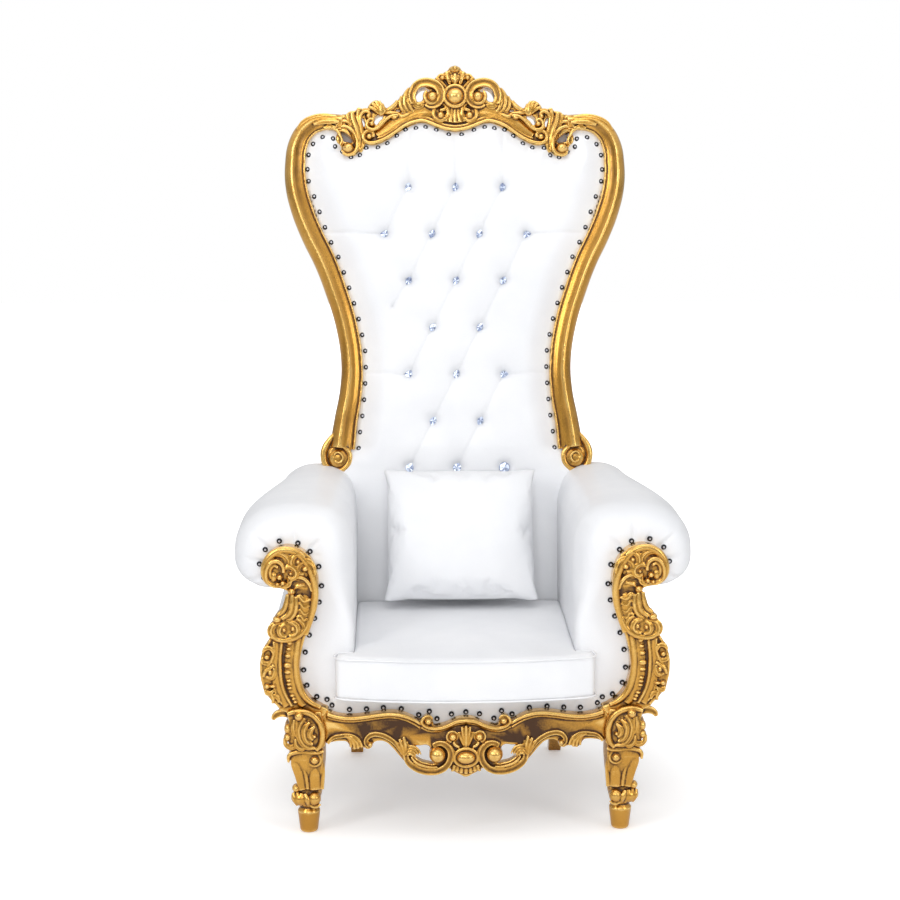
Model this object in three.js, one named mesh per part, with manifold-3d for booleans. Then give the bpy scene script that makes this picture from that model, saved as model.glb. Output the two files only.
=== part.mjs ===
// A high-backed ceremonial armchair: a carved and gilded wooden frame with button-tufted leather upholstery.
// Millimetres, +Z up, the chair faces -Y, and the origin is on the floor at the middle of its footprint.
// Carved boards are drawn flat, in board space: x to the right, y up, z out towards someone facing the chair.
import * as THREE from "three";
import { mergeVertices } from "three/addons/utils/BufferGeometryUtils.js";
import Module from "manifold-3d";

const wasm = await Module();
wasm.setup();

// ---------- driving dimensions ----------
const GAP = 0.3; // clearance between pieces that touch
const BACK_LEAN = THREE.MathUtils.degToRad(8.8); // how far the back tilts from upright
const BACK_Y = 200; // front face of the back frame, at the height BACK_Z
const BACK_Z = 780;
const FRAME_THICK = 46; // back frame, behind its front face
const CREST_TOP = 1833;
const CREST_END = 294.8; // where the top rail meets the stiles
const CARTOUCHE_Z = 1752;
const VOLUTE_X = 312; // scroll at the foot of a stile
const VOLUTE_Z = 812;
const FACE_Y = -372; // front face of the arm fronts and of the front rail
const ARM_FRONT_THICK = 36;
const RAIL_THICK = 26;
const RAIL_BOW = 24; // how far the middle of the front rail stands forward of its ends
const PLAIN_RAIL_BOTTOM = 226;
const LEG_X = 375; // middle of a front leg
const LEG_Y = -345;
const LEG_TOP = 299;
const LEG_INSIDE = 328; // where the front rail meets the legs
const REAR_LEG_X = 268;
const REAR_LEG_Y = 150;
const SEAT_BOTTOM = 236;
const DECK_TOP = 325;
const CUSHION_HALF = 305; // half the width of the seat cushion at its front
const CUSHION_SIDE_TOP = 430; // top of the cushion's front edge
const CUSHION_BACK_TOP = 456;
const ARM_FRONT_Y = FACE_Y + ARM_FRONT_THICK + GAP; // front of the arm upholstery
const ARM_BACK_Y = 172;
const ARM_INSIDE_X = 261;
const ARM_TOP = 766; // top of the arm's roll where it is thickest
const BUTTON_PITCH_X = 124;
const BUTTON_PITCH_Z = 121.3;
const BUTTON_TOP_Z = 1514;
const BUTTON_ROWS = [3, 4, 3, 2, 3, 2, 3]; // buttons in each row, from the top
const BUTTON_RADIUS = 12.5;
const PAD_RISE = 36; // how far the middle of the back upholstery stands out of its frame
const PAD_EDGE = 8; // and how far its edges do
const PAD_FOOT_Z = LEG_TOP + 8;
const PANEL_THICK = 6; // panel behind the back
const TUFT_DEPTH = 20;
const BACK_REACH = 60; // further forward than anything on the back
const PILLOW_WIDTH = 392;
const PILLOW_HEIGHT = 356;
const PILLOW_THICK = 120;
const PILLOW_LEAN = THREE.MathUtils.degToRad(24);

const GOLD = new THREE.MeshStandardMaterial({ color: 0xb8862f, roughness: 0.34, metalness: 0.9 });
const LEATHER = new THREE.MeshStandardMaterial({ color: 0xf1f2f4, roughness: 0.45, metalness: 0 });
const CRYSTAL = new THREE.MeshStandardMaterial({ color: 0xc9d2e6, roughness: 0.05, metalness: 0.3 });

// ---------- tools for making solids ----------
const vec = (x, y) => new THREE.Vector2(x, y);
const shapeOf = (points) => new THREE.Shape(points.map(([x, y]) => vec(x, y)));
const curveOf = (points) => new THREE.SplineCurve(points.map(([x, y]) => vec(x, y)));

/** The points of a smooth curve through a few of them. */
const smooth = (points, count) => curveOf(points).getPoints(count).map((p) => [p.x, p.y]);

/** Moves every vertex of a geometry by a function that changes the vector it is given. */
function warp(geometry, move) {
  const position = geometry.getAttribute("position");
  const v = new THREE.Vector3();
  for (let i = 0; i < position.count; i++) {
    v.fromBufferAttribute(position, i);
    move(v);
    position.setXYZ(i, v.x, v.y, v.z);
  }
  return geometry;
}

/** A closed geometry as a solid that can be joined and cut. */
function solid(geometry) {
  const bare = geometry.index ? geometry.toNonIndexed() : geometry.clone();
  bare.deleteAttribute("normal");
  bare.deleteAttribute("uv");
  const merged = mergeVertices(bare, 1e-3);
  const triangles = [];
  for (let i = 0; i < merged.index.count; i += 3) {
    const [a, b, c] = merged.index.array.slice(i, i + 3);
    if (a !== b && b !== c && c !== a) triangles.push(a, b, c);
  }
  const mesh = new wasm.Mesh({
    numProp: 3,
    vertProperties: merged.attributes.position.array,
    triVerts: new Uint32Array(triangles),
  });
  return new wasm.Manifold(mesh);
}

const joined = (geometries) => geometries.map(solid).reduce((whole, part) => whole.add(part));

/** The triangles of a solid, as a three.js geometry. */
function geometryOf(manifold) {
  const { numProp, vertProperties, triVerts } = manifold.getMesh();
  const points = new Float32Array((vertProperties.length / numProp) * 3);
  for (let i = 0; i < points.length / 3; i++) {
    points.set(vertProperties.subarray(i * numProp, i * numProp + 3), i * 3);
  }
  const geometry = new THREE.BufferGeometry();
  geometry.setAttribute("position", new THREE.BufferAttribute(points, 3));
  geometry.setIndex(new THREE.BufferAttribute(new Uint32Array(triVerts), 1));
  return geometry;
}

/** The same geometry on the other side of the middle plane, still facing outwards. */
function mirrored(geometry) {
  const copy = (geometry.index ? geometry.toNonIndexed() : geometry.clone()).scale(-1, 1, 1);
  const p = copy.getAttribute("position").array;
  for (let i = 0; i < p.length; i += 9) {
    const first = p.slice(i, i + 3);
    p.set(p.slice(i + 3, i + 6), i);
    p.set(first, i + 3);
  }
  return copy;
}

const bothSides = (geometries) => [...geometries, ...geometries.map(mirrored)];

function mesh(name, geometry, material) {
  const facets = geometry.index ? geometry.toNonIndexed() : geometry;
  facets.computeVertexNormals();
  const made = new THREE.Mesh(facets, material);
  made.name = name;
  return made;
}

/** A right-hand piece and its mirror image. */
const pair = (name, geometry, material) => [
  mesh(name + "_right", geometry, material),
  mesh(name + "_left", mirrored(geometry), material),
];

// ---------- tools for carving, in board space ----------
const RIDGED = shapeOf([[1, -0.5], [0.2, 0.9], [-1, -0.5]]);

/** Bends a straight bar along a flat curve. The section's x runs across the curve and its y out of the board. */
function sweep(curve, section, width, rise, steps) {
  const bar = new THREE.ExtrudeGeometry(section, { depth: 1, steps, bevelEnabled: false });
  return warp(bar, (v) => {
    const t = THREE.MathUtils.clamp(v.z, 0, 1);
    const at = curve.getPointAt(t);
    const along = curve.getTangentAt(t);
    const across = v.x * width(t);
    v.set(at.x - along.y * across, at.y + along.x * across, v.y * rise(t));
  });
}

/** A carved ridge through a few points, `from` half-wide at its start and `to` at its end. */
function ridge(points, from, to, { steps = points.length, lift = 0 } = {}) {
  const half = (t) => THREE.MathUtils.lerp(from, to, t);
  return sweep(curveOf(points), RIDGED, half, half, steps).translate(0, 0, lift);
}

/** A domed button of wood. */
function boss(x, y, radiusX, radiusY, rise, around = 6) {
  const dome = new THREE.SphereGeometry(1, around, 4).rotateX(Math.PI / 2);
  return dome.scale(radiusX, radiusY, rise).translate(x, y, 0);
}

/** Ridges that spread from a root like the flutes of a shell. Angles are in degrees, anticlockwise from +x. */
function fan(x, y, inner, outer, startAngle, endAngle, count, thick) {
  const ridges = [];
  for (let i = 0; i < count; i++) {
    const share = i / (count - 1);
    const a = THREE.MathUtils.degToRad(THREE.MathUtils.lerp(startAngle, endAngle, share));
    const reach = outer * (0.82 + 0.18 * Math.sin(Math.PI * share));
    const ends = [inner, reach].map((r) => [x + r * Math.cos(a), y + r * Math.sin(a)]);
    ridges.push(ridge(ends, thick * 0.6, thick, { steps: 1 }));
  }
  return ridges;
}

/** A row of domed buttons along a curve. */
function bosses(points, count, radius, rise) {
  return curveOf(points).getSpacedPoints(count - 1).map((p) => boss(p.x, p.y, radius, radius, rise, 5));
}

/** A board of a closed outline, its front face at z = 0. Holes run clockwise and the outline the other way. */
function board(outline, thick, holes = []) {
  const shape = shapeOf(turned(outline, false));
  shape.holes = holes.map((hole) => new THREE.Path(turned(hole, true).map(([x, y]) => vec(x, y))));
  return new THREE.ExtrudeGeometry(shape, { depth: thick, bevelEnabled: false }).translate(0, 0, -thick);
}

/** A closed outline from its right half, which runs from the top middle to the bottom middle. */
function wholeOutline(half) {
  const off = half.filter(([x]) => x > GAP);
  return [half[0], ...off, half.at(-1), ...off.reverse().map(([x, y]) => [-x, y])];
}

/** The outline, reversed if need be to run clockwise or anticlockwise. */
function turned(outline, clockwise) {
  const isClockwise = THREE.ShapeUtils.isClockWise(outline.map(([x, y]) => vec(x, y)));
  return isClockwise === clockwise ? outline : outline.slice().reverse();
}

const flipX = (points) => points.map(([x, y]) => [-x, y]);

// ---------- the back frame, in a board space that leans: y is measured up the slope from BACK_Z ----------
const slope = (z) => (z - BACK_Z) / Math.cos(BACK_LEAN);
const onBack = (points) => points.map(([x, z]) => [x, slope(z)]);
const lean = (geometry) => geometry.rotateX(Math.PI / 2 - BACK_LEAN).translate(0, BACK_Y, BACK_Z);

const STILE_STEPS = 16;
const STILE_CURVE = curveOf(onBack([[300, 838], [291, 905], [277, 985], [274, 1060], [288, 1158], [316, 1251],
  [345, 1327], [375, 1388], [402, 1455], [418, 1520], [420, 1580], [412, 1630], [390, 1666], [356, 1684], [326, 1686],
  [296, 1685]]));
const STILE_HALF_WIDTH = curveOf([[0, 34], [0.12, 30], [0.3, 28], [0.6, 29.5], [0.85, 25], [1, 20]]);
const stileHalfWidth = (t) => STILE_HALF_WIDTH.getPoint(t).y;

/** Points along the stile's inner edge, `off` millimetres clear of it. */
function stileInnerEdge(off) {
  const points = [];
  for (let i = 0; i <= STILE_STEPS; i++) {
    const t = i / STILE_STEPS;
    const at = STILE_CURVE.getPointAt(t);
    const along = STILE_CURVE.getTangentAt(t);
    const reach = stileHalfWidth(t) + off;
    points.push([at.x - along.y * reach, at.y + along.x * reach]);
  }
  return points;
}

/** One stile: a moulded serpentine that ends in a scroll over the arm. */
function stile() {
  // Across the moulding: the bead at the inner edge, the broad round, its ridge, a cove and the outer bead.
  const section = shapeOf([[1, -FRAME_THICK], [1, 8], [0.84, 8], [0.74, 3], [0.1, 22], [-0.16, 24], [-0.66, 3],
    [-0.86, 8], [-1, 2], [-1, -FRAME_THICK]]);
  const moulding = sweep(STILE_CURVE, section, stileHalfWidth, () => 1, STILE_STEPS);
  const barrelLength = FRAME_THICK + 14;
  const barrel = new THREE.CylinderGeometry(38, 38, barrelLength, 14).rotateX(Math.PI / 2);
  barrel.translate(VOLUTE_X + 7, slope(VOLUTE_Z), 14 - barrelLength / 2);
  const face = new THREE.CylinderGeometry(27, 31, 20, 12).rotateX(Math.PI / 2);
  face.translate(VOLUTE_X, slope(VOLUTE_Z), 20);
  return geometryOf(joined([moulding, barrel, face]));
}

const CREST_LOWER = onBack(smooth([[248, 1632], [214, 1627], [183, 1637], [160, 1651], [140, 1668], [112, 1681],
  [80, 1686], [52, 1677], [28, 1667], [0, 1661]], 10));
const CREST_CORNER = onBack([[CREST_END, 1657], [303, 1648], [302, 1632], [292, 1622], [302, 1606], [288, 1593],
  [270, 1594], [258, 1612]]);

/** The pierced top rail: a concave frieze under scrolls, leaves and a domed cartouche. */
function crest() {
  const upper = onBack([[0, CREST_TOP], [12, 1826], [30, 1810], [50, 1798], [92, 1793], [118, 1781], [139, 1756],
    [158, 1731], [178, 1722], [192, 1734], [206, 1743], [222, 1738], [232, 1722], [246, 1714], [256, 1725],
    [268, 1706], [279, 1711], [CREST_END, 1706]]);
  const holes = [
    [[106, 1752], [97, 1771], [82, 1771], [76, 1763], [88, 1746], [92, 1737], [104, 1740]],
    [[226, 1692], [218, 1706], [200, 1702], [207, 1686]],
    [[262, 1690], [254, 1694], [249, 1676], [252, 1654], [260, 1664]],
    [[293, 1660], [279, 1657], [272, 1644], [273, 1632], [286, 1634], [294, 1646]],
  ].map(onBack);
  const outline = wholeOutline([...upper, ...CREST_CORNER, ...CREST_LOWER]);
  const plank = board(outline, FRAME_THICK, [...holes, ...holes.map(flipX)]);
  const relief = 40;
  const cutter = board(outline, FRAME_THICK + relief).translate(0, 0, relief);
  const line = (points, ...rest) => ridge(onBack(points), ...rest);
  const carving = [
    line([[0, 1667], [28, 1672], [52, 1683], [82, 1692], [112, 1687], [142, 1674], [162, 1658], [184, 1643],
      [214, 1634], [242, 1638]], 6, 6, { steps: 6 }), // bead under the frieze
    line([[120, 1722], [160, 1702], [196, 1682], [224, 1681]], 8, 6, { steps: 3 }), // top of the frieze
    boss(230, slope(1676), 9, 9, 14),
    line([[124, 1736], [118, 1768], [92, 1784], [64, 1782], [46, 1764], [45, 1740], [60, 1728], [78, 1732]], 12, 8,
      { steps: 7 }), // the big scroll beside the cartouche
    boss(64, slope(1751), 18, 18, 24),
    line([[112, 1714], [132, 1738], [138, 1752]], 5, 9, { steps: 2 }), // leaf on the shoulder
    ...fan(198, slope(1708), 12, 32, 48, 112, 3, 7), // shell that breaks the top line
    line([[262, 1600], [260, 1640], [266, 1680], [276, 1706]], 8, 6, { steps: 3 }), // corner leaf and its tips
    line([[262, 1690], [250, 1708], [234, 1706], [230, 1696]], 8, 4, { steps: 3 }),
    line([[287, 1672], [278, 1666], [268, 1650], [263, 1626], [270, 1604], [288, 1599]], 8, 6, { steps: 4 }),
    boss(284, slope(1610), 13, 13, 18),
    line([[30, 1722], [56, 1716], [58, 1696], [44, 1689]], 6, 5, { steps: 3 }), // pendant scroll
    boss(39, slope(1701), 9, 9, 13),
    boss(38, slope(1794), 10, 10, 14),
  ];
  const middle = [
    boss(0, slope(CARTOUCHE_Z), 39, 39, 14, 12),
    boss(0, slope(CARTOUCHE_Z), 27, 27, 27, 10),
    boss(0, slope(1818), 14, 13, 17),
    ...fan(0, slope(1768), 18, 50, 52, 128, 3, 10),
    ...fan(0, slope(1730), 14, 56, -104, -76, 2, 10),
  ];
  return geometryOf(joined([plank, ...bothSides(carving), ...middle]).intersect(solid(cutter)));
}

// ---------- the carved front, in a board space whose y is the height above the floor ----------
const stand = (geometry, y) => geometry.rotateX(Math.PI / 2).translate(0, y, 0);

/** The scrolled board on the front of an arm. */
function armFront() {
  const foot = LEG_TOP + GAP;
  const shin = smooth([[430, foot], [446, 317], [462, 334], [476, 363], [481, 398], [479, 424], [469, 453],
    [456, 480]], 7);
  const neck = smooth([[458, 496], [448, 516], [440, 534], [428, 543], [414, 558], [410, 574], [416, 587]], 6);
  const head = smooth([[430, 590], [452, 597], [468, 612], [474, 636], [468, 660], [447, 683], [416, 695],
    [385, 688], [363, 669], [348, 640], [342, 612], [343, 586], [347, 556], [358, 522], [370, 488], [380, 455],
    [386, 425], [387, 394], [383, 366], [372, 341], [353, 320], [324, 306]], 21);
  const plank = board([...shin, ...neck, ...head, [321, foot]], ARM_FRONT_THICK);
  const carving = [
    ridge([[352, 322], [376, 342], [388, 372], [391, 412], [385, 455], [366, 505], [352, 556], [350, 610], [364, 655],
      [392, 680], [425, 684], [452, 668], [464, 640], [456, 614], [438, 604]], 7, 7, { steps: 10 }),
    ...fan(408, 632, 14, 42, 25, 170, 4, 10), // shell in the head of the scroll
    boss(408, 634, 12, 12, 18),
    boss(444, 634, 11, 11, 12),
    ridge([[416, 606], [404, 590], [397, 568], [404, 546], [426, 528]], 9, 9, { steps: 3 }), // curls under it
    ridge([[400, 606], [384, 580], [388, 548], [410, 522], [438, 516]], 6, 9, { steps: 4 }),
    ...bosses([[376, 506], [404, 496], [432, 496], [450, 506]], 4, 13, 14), // shell collar
    ridge([[410, 480], [418, 440], [420, 395], [410, 350], [390, 318]], 5, 5, { steps: 4 }), // shin mouldings
    ridge([[442, 478], [454, 440], [457, 396], [446, 352], [424, 318]], 9, 9, { steps: 4 }),
  ];
  return stand(geometryOf(joined([plank, ...carving])), FACE_Y);
}

/** How far forward of its ends the front rail is, at a distance from the middle. */
const railBow = (x) => RAIL_BOW * (1 - (x / LEG_INSIDE) ** 2);

/** The front seat rail: a serpentine board with an apron of scrolls round a cartouche. */
function frontRail() {
  const end = LEG_INSIDE - GAP;
  const top = [
    ...smooth([[0, 282], [30, 273], [50, 265], [66, 262]], 3),
    ...[[79, 264], [78, 276], [87, 286], [98, 284], [108, 274]],
    ...smooth([[126, 284], [148, 292], [174, 296], [208, 294], [241, 288], [275, 286], [311, 292], [end, 297]], 9),
  ];
  const bottom = [
    ...[[end, 221], [304, 227], [286, 226], [275, 220], [269, 210], [258, 206], [246, 211], [230, 208], [219, 216]],
    ...smooth([[208, 224], [193, 222], [177, 210], [163, 191], [146, 174], [127, 159], [104, 148], [80, 145],
      [60, 150], [44, 158]], 8),
    ...[[30, 148], [15, 141], [0, 137]],
  ];
  const hole = [[120, 204], [112, 212], [88, 213], [91, 191], [76, 174], [104, 176], [121, 192]];
  const plank = board(wholeOutline([...top, ...bottom]), RAIL_THICK, [hole, flipX(hole)]);
  const carving = [
    ridge([[end - 7, 290], [311, 286], [275, 280], [241, 282], [208, 288], [174, 290], [148, 286], [126, 277],
      [108, 266]], 5, 5, { steps: 5 }), // bead along the top
    ridge([[100, 266], [80, 258], [58, 258], [30, 266], [0, 275]], 5, 5, { steps: 3 }),
    boss(88, 275, 10, 10, 13),
    ridge([[end - 7, 226], [300, 233], [276, 230], [262, 214]], 7, 9, { steps: 3 }), // arch beside the leg
    ridge([[238, 212], [226, 226], [210, 238], [190, 234], [172, 214], [154, 192]], 6, 9, { steps: 4 }),
    boss(231, 217, 8, 8, 12),
    ridge([[150, 226], [146, 204], [136, 182]], 7, 9, { steps: 1 }), // leaf where the scrolls meet
    ridge([[150, 184], [128, 167], [100, 157], [72, 158], [50, 172], [43, 196], [56, 213], [72, 210]], 11, 8,
      { steps: 6 }), // the big scroll
    boss(68, 192, 20, 20, 22),
    boss(31, 237, 12, 12, 14),
  ];
  const middle = [
    boss(0, 187, 33, 27, 13, 10),
    boss(0, 187, 22, 17, 22, 8),
    ...fan(0, 208, 6, 52, 68, 112, 2, 11),
    ...fan(0, 200, 24, 58, -115, -65, 3, 9),
  ];
  const flat = stand(geometryOf(joined([plank, ...bothSides(carving), ...middle])), FACE_Y);
  return warp(flat, (v) => {
    v.set(v.x, v.y - railBow(v.x), v.z + 0.27 * railBow(v.x));
  });
}

/** A front leg: a carved knee block, a tapering shin, a scrolled ankle and a turned foot. */
function frontLeg() {
  // Height, then the reach outwards, inwards, forwards and backwards from the middle of the leg.
  const stations = [[LEG_TOP, 50, 42, 38, 38], [252, 38, 46, 38, 38], [228, 46, 46, 42, 38], [212, 40, 46, 38, 38],
    [184, 42, 46, 37, 36], [150, 30, 43, 31, 34], [114, 19, 37, 24, 30], [96, 22, 35, 28, 30], [72, 22, 30, 24, 26]];
  const rings = stations.length - 1;
  const core = warp(new THREE.CylinderGeometry(1, 1, 1, 8, rings), (v) => {
    const [height, outwards, inwards, forwards, backwards] = stations[Math.round((0.5 - v.y) * rings)];
    const squareness = Math.max(Math.abs(v.x), Math.abs(v.z)) || 1;
    const reach = 0.5 + 0.5 / squareness;
    const x = v.x * reach;
    const y = -v.z * reach;
    v.set(x * (x > 0 ? outwards : inwards), y * (y > 0 ? backwards : forwards), height);
  });
  const foot = new THREE.CylinderGeometry(27, 21, 54, 12).rotateX(Math.PI / 2).translate(-4, 0, 27);
  const neck = new THREE.CylinderGeometry(21, 23, 26, 8).rotateX(Math.PI / 2).translate(-4, 0, 62);
  const front = (pieces, y) => pieces.map((piece) => piece.rotateX(Math.PI / 2).translate(0, -y, 0));
  const knee = front([
    ridge([[24, 290], [-10, 293], [-32, 276], [-38, 250], [-28, 226], [-8, 218], [4, 228]], 6, 6, { steps: 4 }),
    boss(14, 284, 10, 10, 12),
    ...fan(22, 238, 8, 42, 105, 170, 2, 9),
    ...bosses([[-20, 222], [26, 222]], 2, 18, 16),
  ], 37);
  const shin = front([
    ridge([[-20, 176], [-36, 178], [-34, 198], [-12, 204], [4, 194], [8, 168], [-2, 132], [-6, 104]], 6, 6,
      { steps: 3 }),
    boss(-24, 187, 9, 9, 14),
  ], 31);
  const ankle = [
    new THREE.SphereGeometry(1, 6, 4).scale(27, 27, 21).translate(9, -10, 86),
    ...front([boss(-20, 88, 14, 14, 15)], 26),
  ];
  const hook = front([ridge([[34, 284], [54, 290], [70, 290], [77, 280]], 10, 5, { steps: 3 })], 14);
  return geometryOf(joined([core, foot, neck, ...knee, ...shin, ...ankle, ...hook]));
}

// ---------- the rest of the base ----------
/** A raked back leg of square section, slimmer towards its foot. */
function rearLeg() {
  const rake = 110;
  const height = PLAIN_RAIL_BOTTOM - GAP;
  const leg = new THREE.BoxGeometry(46, 46, height, 1, 1, 5).translate(0, 0, height / 2);
  return warp(leg, (v) => {
    const down = 1 - v.z / height;
    const slim = 1 - 0.3 * down;
    v.set(v.x * slim, v.y * slim + rake * down ** 1.6, v.z);
  });
}

/** A seat rail with a shallow arch cut in its lower edge, `length` long, drawn from its left end. */
function plainRail(length, thick) {
  const arch = smooth([[0.2, 0], [0.25, 11], [0.5, 18], [0.75, 11], [0.8, 0]], 8);
  const edge = arch.map(([share, rise]) => [share * length, PLAIN_RAIL_BOTTOM + rise]);
  const ends = [[length, PLAIN_RAIL_BOTTOM], [length, LEG_TOP], [0, LEG_TOP], [0, PLAIN_RAIL_BOTTOM]];
  return board([...edge, ...ends], thick);
}

// ---------- upholstery ----------
/** How far back the front face of the back frame is, at a height. */
const backFront = (z) => BACK_Y + (z - BACK_Z) * Math.tan(BACK_LEAN);
const backRear = (z) => backFront(z) + FRAME_THICK / Math.cos(BACK_LEAN);

/** The outline of the upholstered back inside its frame. */
function backOutline() {
  const corner = CREST_CORNER.slice(1).reverse();
  const edge = stileInnerEdge(0).slice(0, -1).reverse();
  const side = ARM_INSIDE_X;
  const half = [...CREST_LOWER.slice().reverse(), ...corner, ...edge, [side, slope(VOLUTE_Z - 42)],
    [side, slope(PAD_FOOT_Z)], [0, slope(PAD_FOOT_Z)]];
  return inset(wholeOutline(half), GAP);
}

/** A closed outline moved inwards by the same distance all round. */
function inset(outline, distance) {
  const points = turned(outline, false);
  return points.map((point, i) => {
    const before = vec(...points.at(i - 1)).sub(vec(...point)).normalize();
    const after = vec(...points[(i + 1) % points.length]).sub(vec(...point)).normalize();
    const inwards = vec(-after.y, after.x).add(vec(before.y, -before.x)).normalize();
    const mitre = Math.max(0.3, inwards.dot(vec(-after.y, after.x)));
    return [point[0] + (inwards.x * distance) / mitre, point[1] + (inwards.y * distance) / mitre];
  });
}

/** The middles of the tufting buttons, in the board space of the back. */
function buttonPlaces() {
  const rows = BUTTON_ROWS.map((count, row) => {
    const y = slope(BUTTON_TOP_Z - row * BUTTON_PITCH_Z);
    return Array.from({ length: count }, (_, i) => [(i - (count - 1) / 2) * BUTTON_PITCH_X, y]);
  });
  return rows.flat();
}

/** How far the back upholstery stands out: swelling to its middle line, and drawn in at a button. */
function backSwell(x, y) {
  const reach = THREE.MathUtils.mapLinear(Math.abs(y - slope(1060)), 0, slope(1560) - slope(1060), 245, 400);
  const edge = Math.min(1, Math.abs(x) / reach);
  const low = THREE.MathUtils.smoothstep(y, slope(DECK_TOP), slope(DECK_TOP + 95));
  const buttoned = buttonPlaces().some(([bx, by]) => Math.hypot(bx - x, by - y) < 1);
  return PAD_EDGE + (PAD_RISE - PAD_EDGE) * (1 - edge ** 3) * low - (buttoned ? TUFT_DEPTH : 0);
}

/** The tufted back: a quilt of facets that has a corner at each button. */
function backPad() {
  const cell = [BUTTON_PITCH_X / 2, slope(BUTTON_PITCH_Z / 2 + BACK_Z)];
  const [columns, rows] = [14, 23];
  const top = slope(BUTTON_TOP_Z) + 3 * cell[1];
  const quilt = new THREE.BoxGeometry(columns, rows, 1, columns, rows, 1);
  warp(quilt, (v) => {
    const x = v.x * cell[0];
    const y = top + (v.y - rows / 2) * cell[1];
    v.set(x, y, v.z > 0 ? backSwell(x, y) : -FRAME_THICK - 20);
  });
  const cutter = board(backOutline(), FRAME_THICK + BACK_REACH).translate(0, 0, BACK_REACH);
  return geometryOf(solid(quilt).intersect(solid(cutter)));
}

/** The plain panel behind the back, which laps over the frame and covers the ends of the arms. */
function outsideBack() {
  const lap = 14;
  const edge = stileInnerEdge(-lap).filter((_, i) => i % 2 === 0).slice(0, -1).reverse();
  const side = VOLUTE_X + 31;
  const upper = onBack([[0, 1692], [110, 1700], [200, 1668], [290, 1672]]);
  const lower = onBack([[side, VOLUTE_Z - 40], [side, LEG_TOP + GAP + 12], [0, LEG_TOP + GAP + 12]]);
  return board(wholeOutline([...upper, ...edge, ...lower]), PANEL_THICK).translate(0, 0, -FRAME_THICK - GAP);
}

/** An arm: a padded wall that rolls outwards at the top, higher and slimmer towards the back. */
function armPad() {
  const base = LEG_TOP + 2 * GAP;
  const roll = smooth([[ARM_INSIDE_X, 640], [268, 700], [292, 742], [338, 763], [396, ARM_TOP], [466, 750],
    [524, 714], [556, 664], [546, 612], [510, 580], [470, 570], [436, 580]], 11);
  const outside = smooth([[420, 560], [424, 530], [444, 498], [460, 455], [465, 405], [456, 360], [436, 322],
    [418, base]], 5);
  const section = shapeOf([[ARM_INSIDE_X, base], [ARM_INSIDE_X, 480], ...roll, ...outside]);
  const stations = [0, 0.06, 0.2, 1, 1.02, 1.02]; // shares of the length, from the front
  const swell = [0.62, 0.87, 1, 1, 1, 1]; // the rounded front of the roll
  const last = stations.length - 1;
  const underScroll = VOLUTE_Z - 46; // the rear end tucks in below the stile's scroll
  const [coreX, coreZ] = [400, 640]; // middle of the roll
  const slimming = 0.2; // share of its width that the roll loses towards the back
  const climb = 10; // and how far it rises
  const wall = new THREE.ExtrudeGeometry(section, { depth: 1, steps: last, bevelEnabled: false });
  return warp(wall, (v) => {
    const station = Math.round((1 - v.z) * last);
    const along = stations[station];
    const high = THREE.MathUtils.smoothstep(v.y, 480, 600);
    const size = 1 + (swell[station] - 1) * high;
    const wide = coreX + (v.x - coreX) * size - ARM_INSIDE_X;
    const x = ARM_INSIDE_X + Math.max(wide, 0) * (1 - slimming * along * high);
    const top = along > 1 ? underScroll : ARM_TOP + 2 * climb;
    const z = Math.min(v.y + (coreZ - v.y) * (1 - size) + climb * along * high, top);
    const y = ARM_FRONT_Y + along * (ARM_BACK_Y - ARM_FRONT_Y);
    const rear = backRear(z) - 4 * (last - station); // the low part ends sooner, because the back leans
    v.set(x, station === last ? rear : Math.min(y, rear), z);
  });
}

/** The sprung seat under the cushion, with a strip that shows above the front rail. */
function seatDeck() {
  const lip = CUSHION_HALF + 12;
  const side = ARM_INSIDE_X - GAP;
  const behindRail = FACE_Y + RAIL_THICK + 9;
  const front = [0, 80, 160, 240, lip].map((x) => [x, behindRail - railBow(x)]);
  const back = backFront(SEAT_BOTTOM) - GAP;
  const half = [...front, [lip, ARM_FRONT_Y - GAP], [side, ARM_FRONT_Y - GAP], [side, back], [0, back]];
  const depth = DECK_TOP - SEAT_BOTTOM;
  const slab = new THREE.ExtrudeGeometry(shapeOf(wholeOutline(half)), { depth, bevelEnabled: false });
  return slab.translate(0, 0, SEAT_BOTTOM);
}

/** The loose seat cushion: its front bows and laps over the fronts of the arms, and its top rises to the back. */
function seatCushion() {
  const soft = 9; // rounding of its edges
  const ears = ARM_FRONT_Y - 2 - soft;
  const side = ARM_INSIDE_X - 2 - soft;
  const [low, high] = [DECK_TOP + 1.2 + soft, CUSHION_SIDE_TOP - soft];
  const bow = smooth([[0, -412], [110, -408], [220, -394], [CUSHION_HALF - soft, -372]], 4);
  const back = backFront(DECK_TOP) - PAD_RISE - 4 - soft;
  const half = [...bow, [CUSHION_HALF - soft, ears], [side, ears], [side, back], [0, back]];
  const cushion = new THREE.ExtrudeGeometry(shapeOf(wholeOutline(half)), {
    depth: high - low, bevelThickness: soft, bevelSize: soft, bevelSegments: 1,
  }).translate(0, 0, low);
  const rise = CUSHION_BACK_TOP - CUSHION_SIDE_TOP;
  return warp(cushion, (v) => {
    if (v.z > (low + high) / 2) v.z += rise * THREE.MathUtils.smoothstep(v.y, FACE_Y, back);
  });
}

/** A square stuffed cushion that thins to its edges, flat on its middle. */
function pillow() {
  const cells = 6;
  const cushion = new THREE.BoxGeometry(2, 2, 2, cells, 1, cells);
  const rounded = warp(cushion, (v) => {
    const [u, w] = [v.x, v.z];
    const thick = 0.08 + 0.92 * Math.sqrt(Math.max(0, (1 - u ** 4) * (1 - w ** 4)));
    const waist = 1 - 0.07 * (1 - (u * w) ** 2); // its sides pull in between the corners
    v.set((u * waist * PILLOW_WIDTH) / 2, (v.y * thick * PILLOW_THICK) / 2, (w * waist * PILLOW_HEIGHT) / 2);
  });
  return rounded.rotateX(-PILLOW_LEAN);
}

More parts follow.
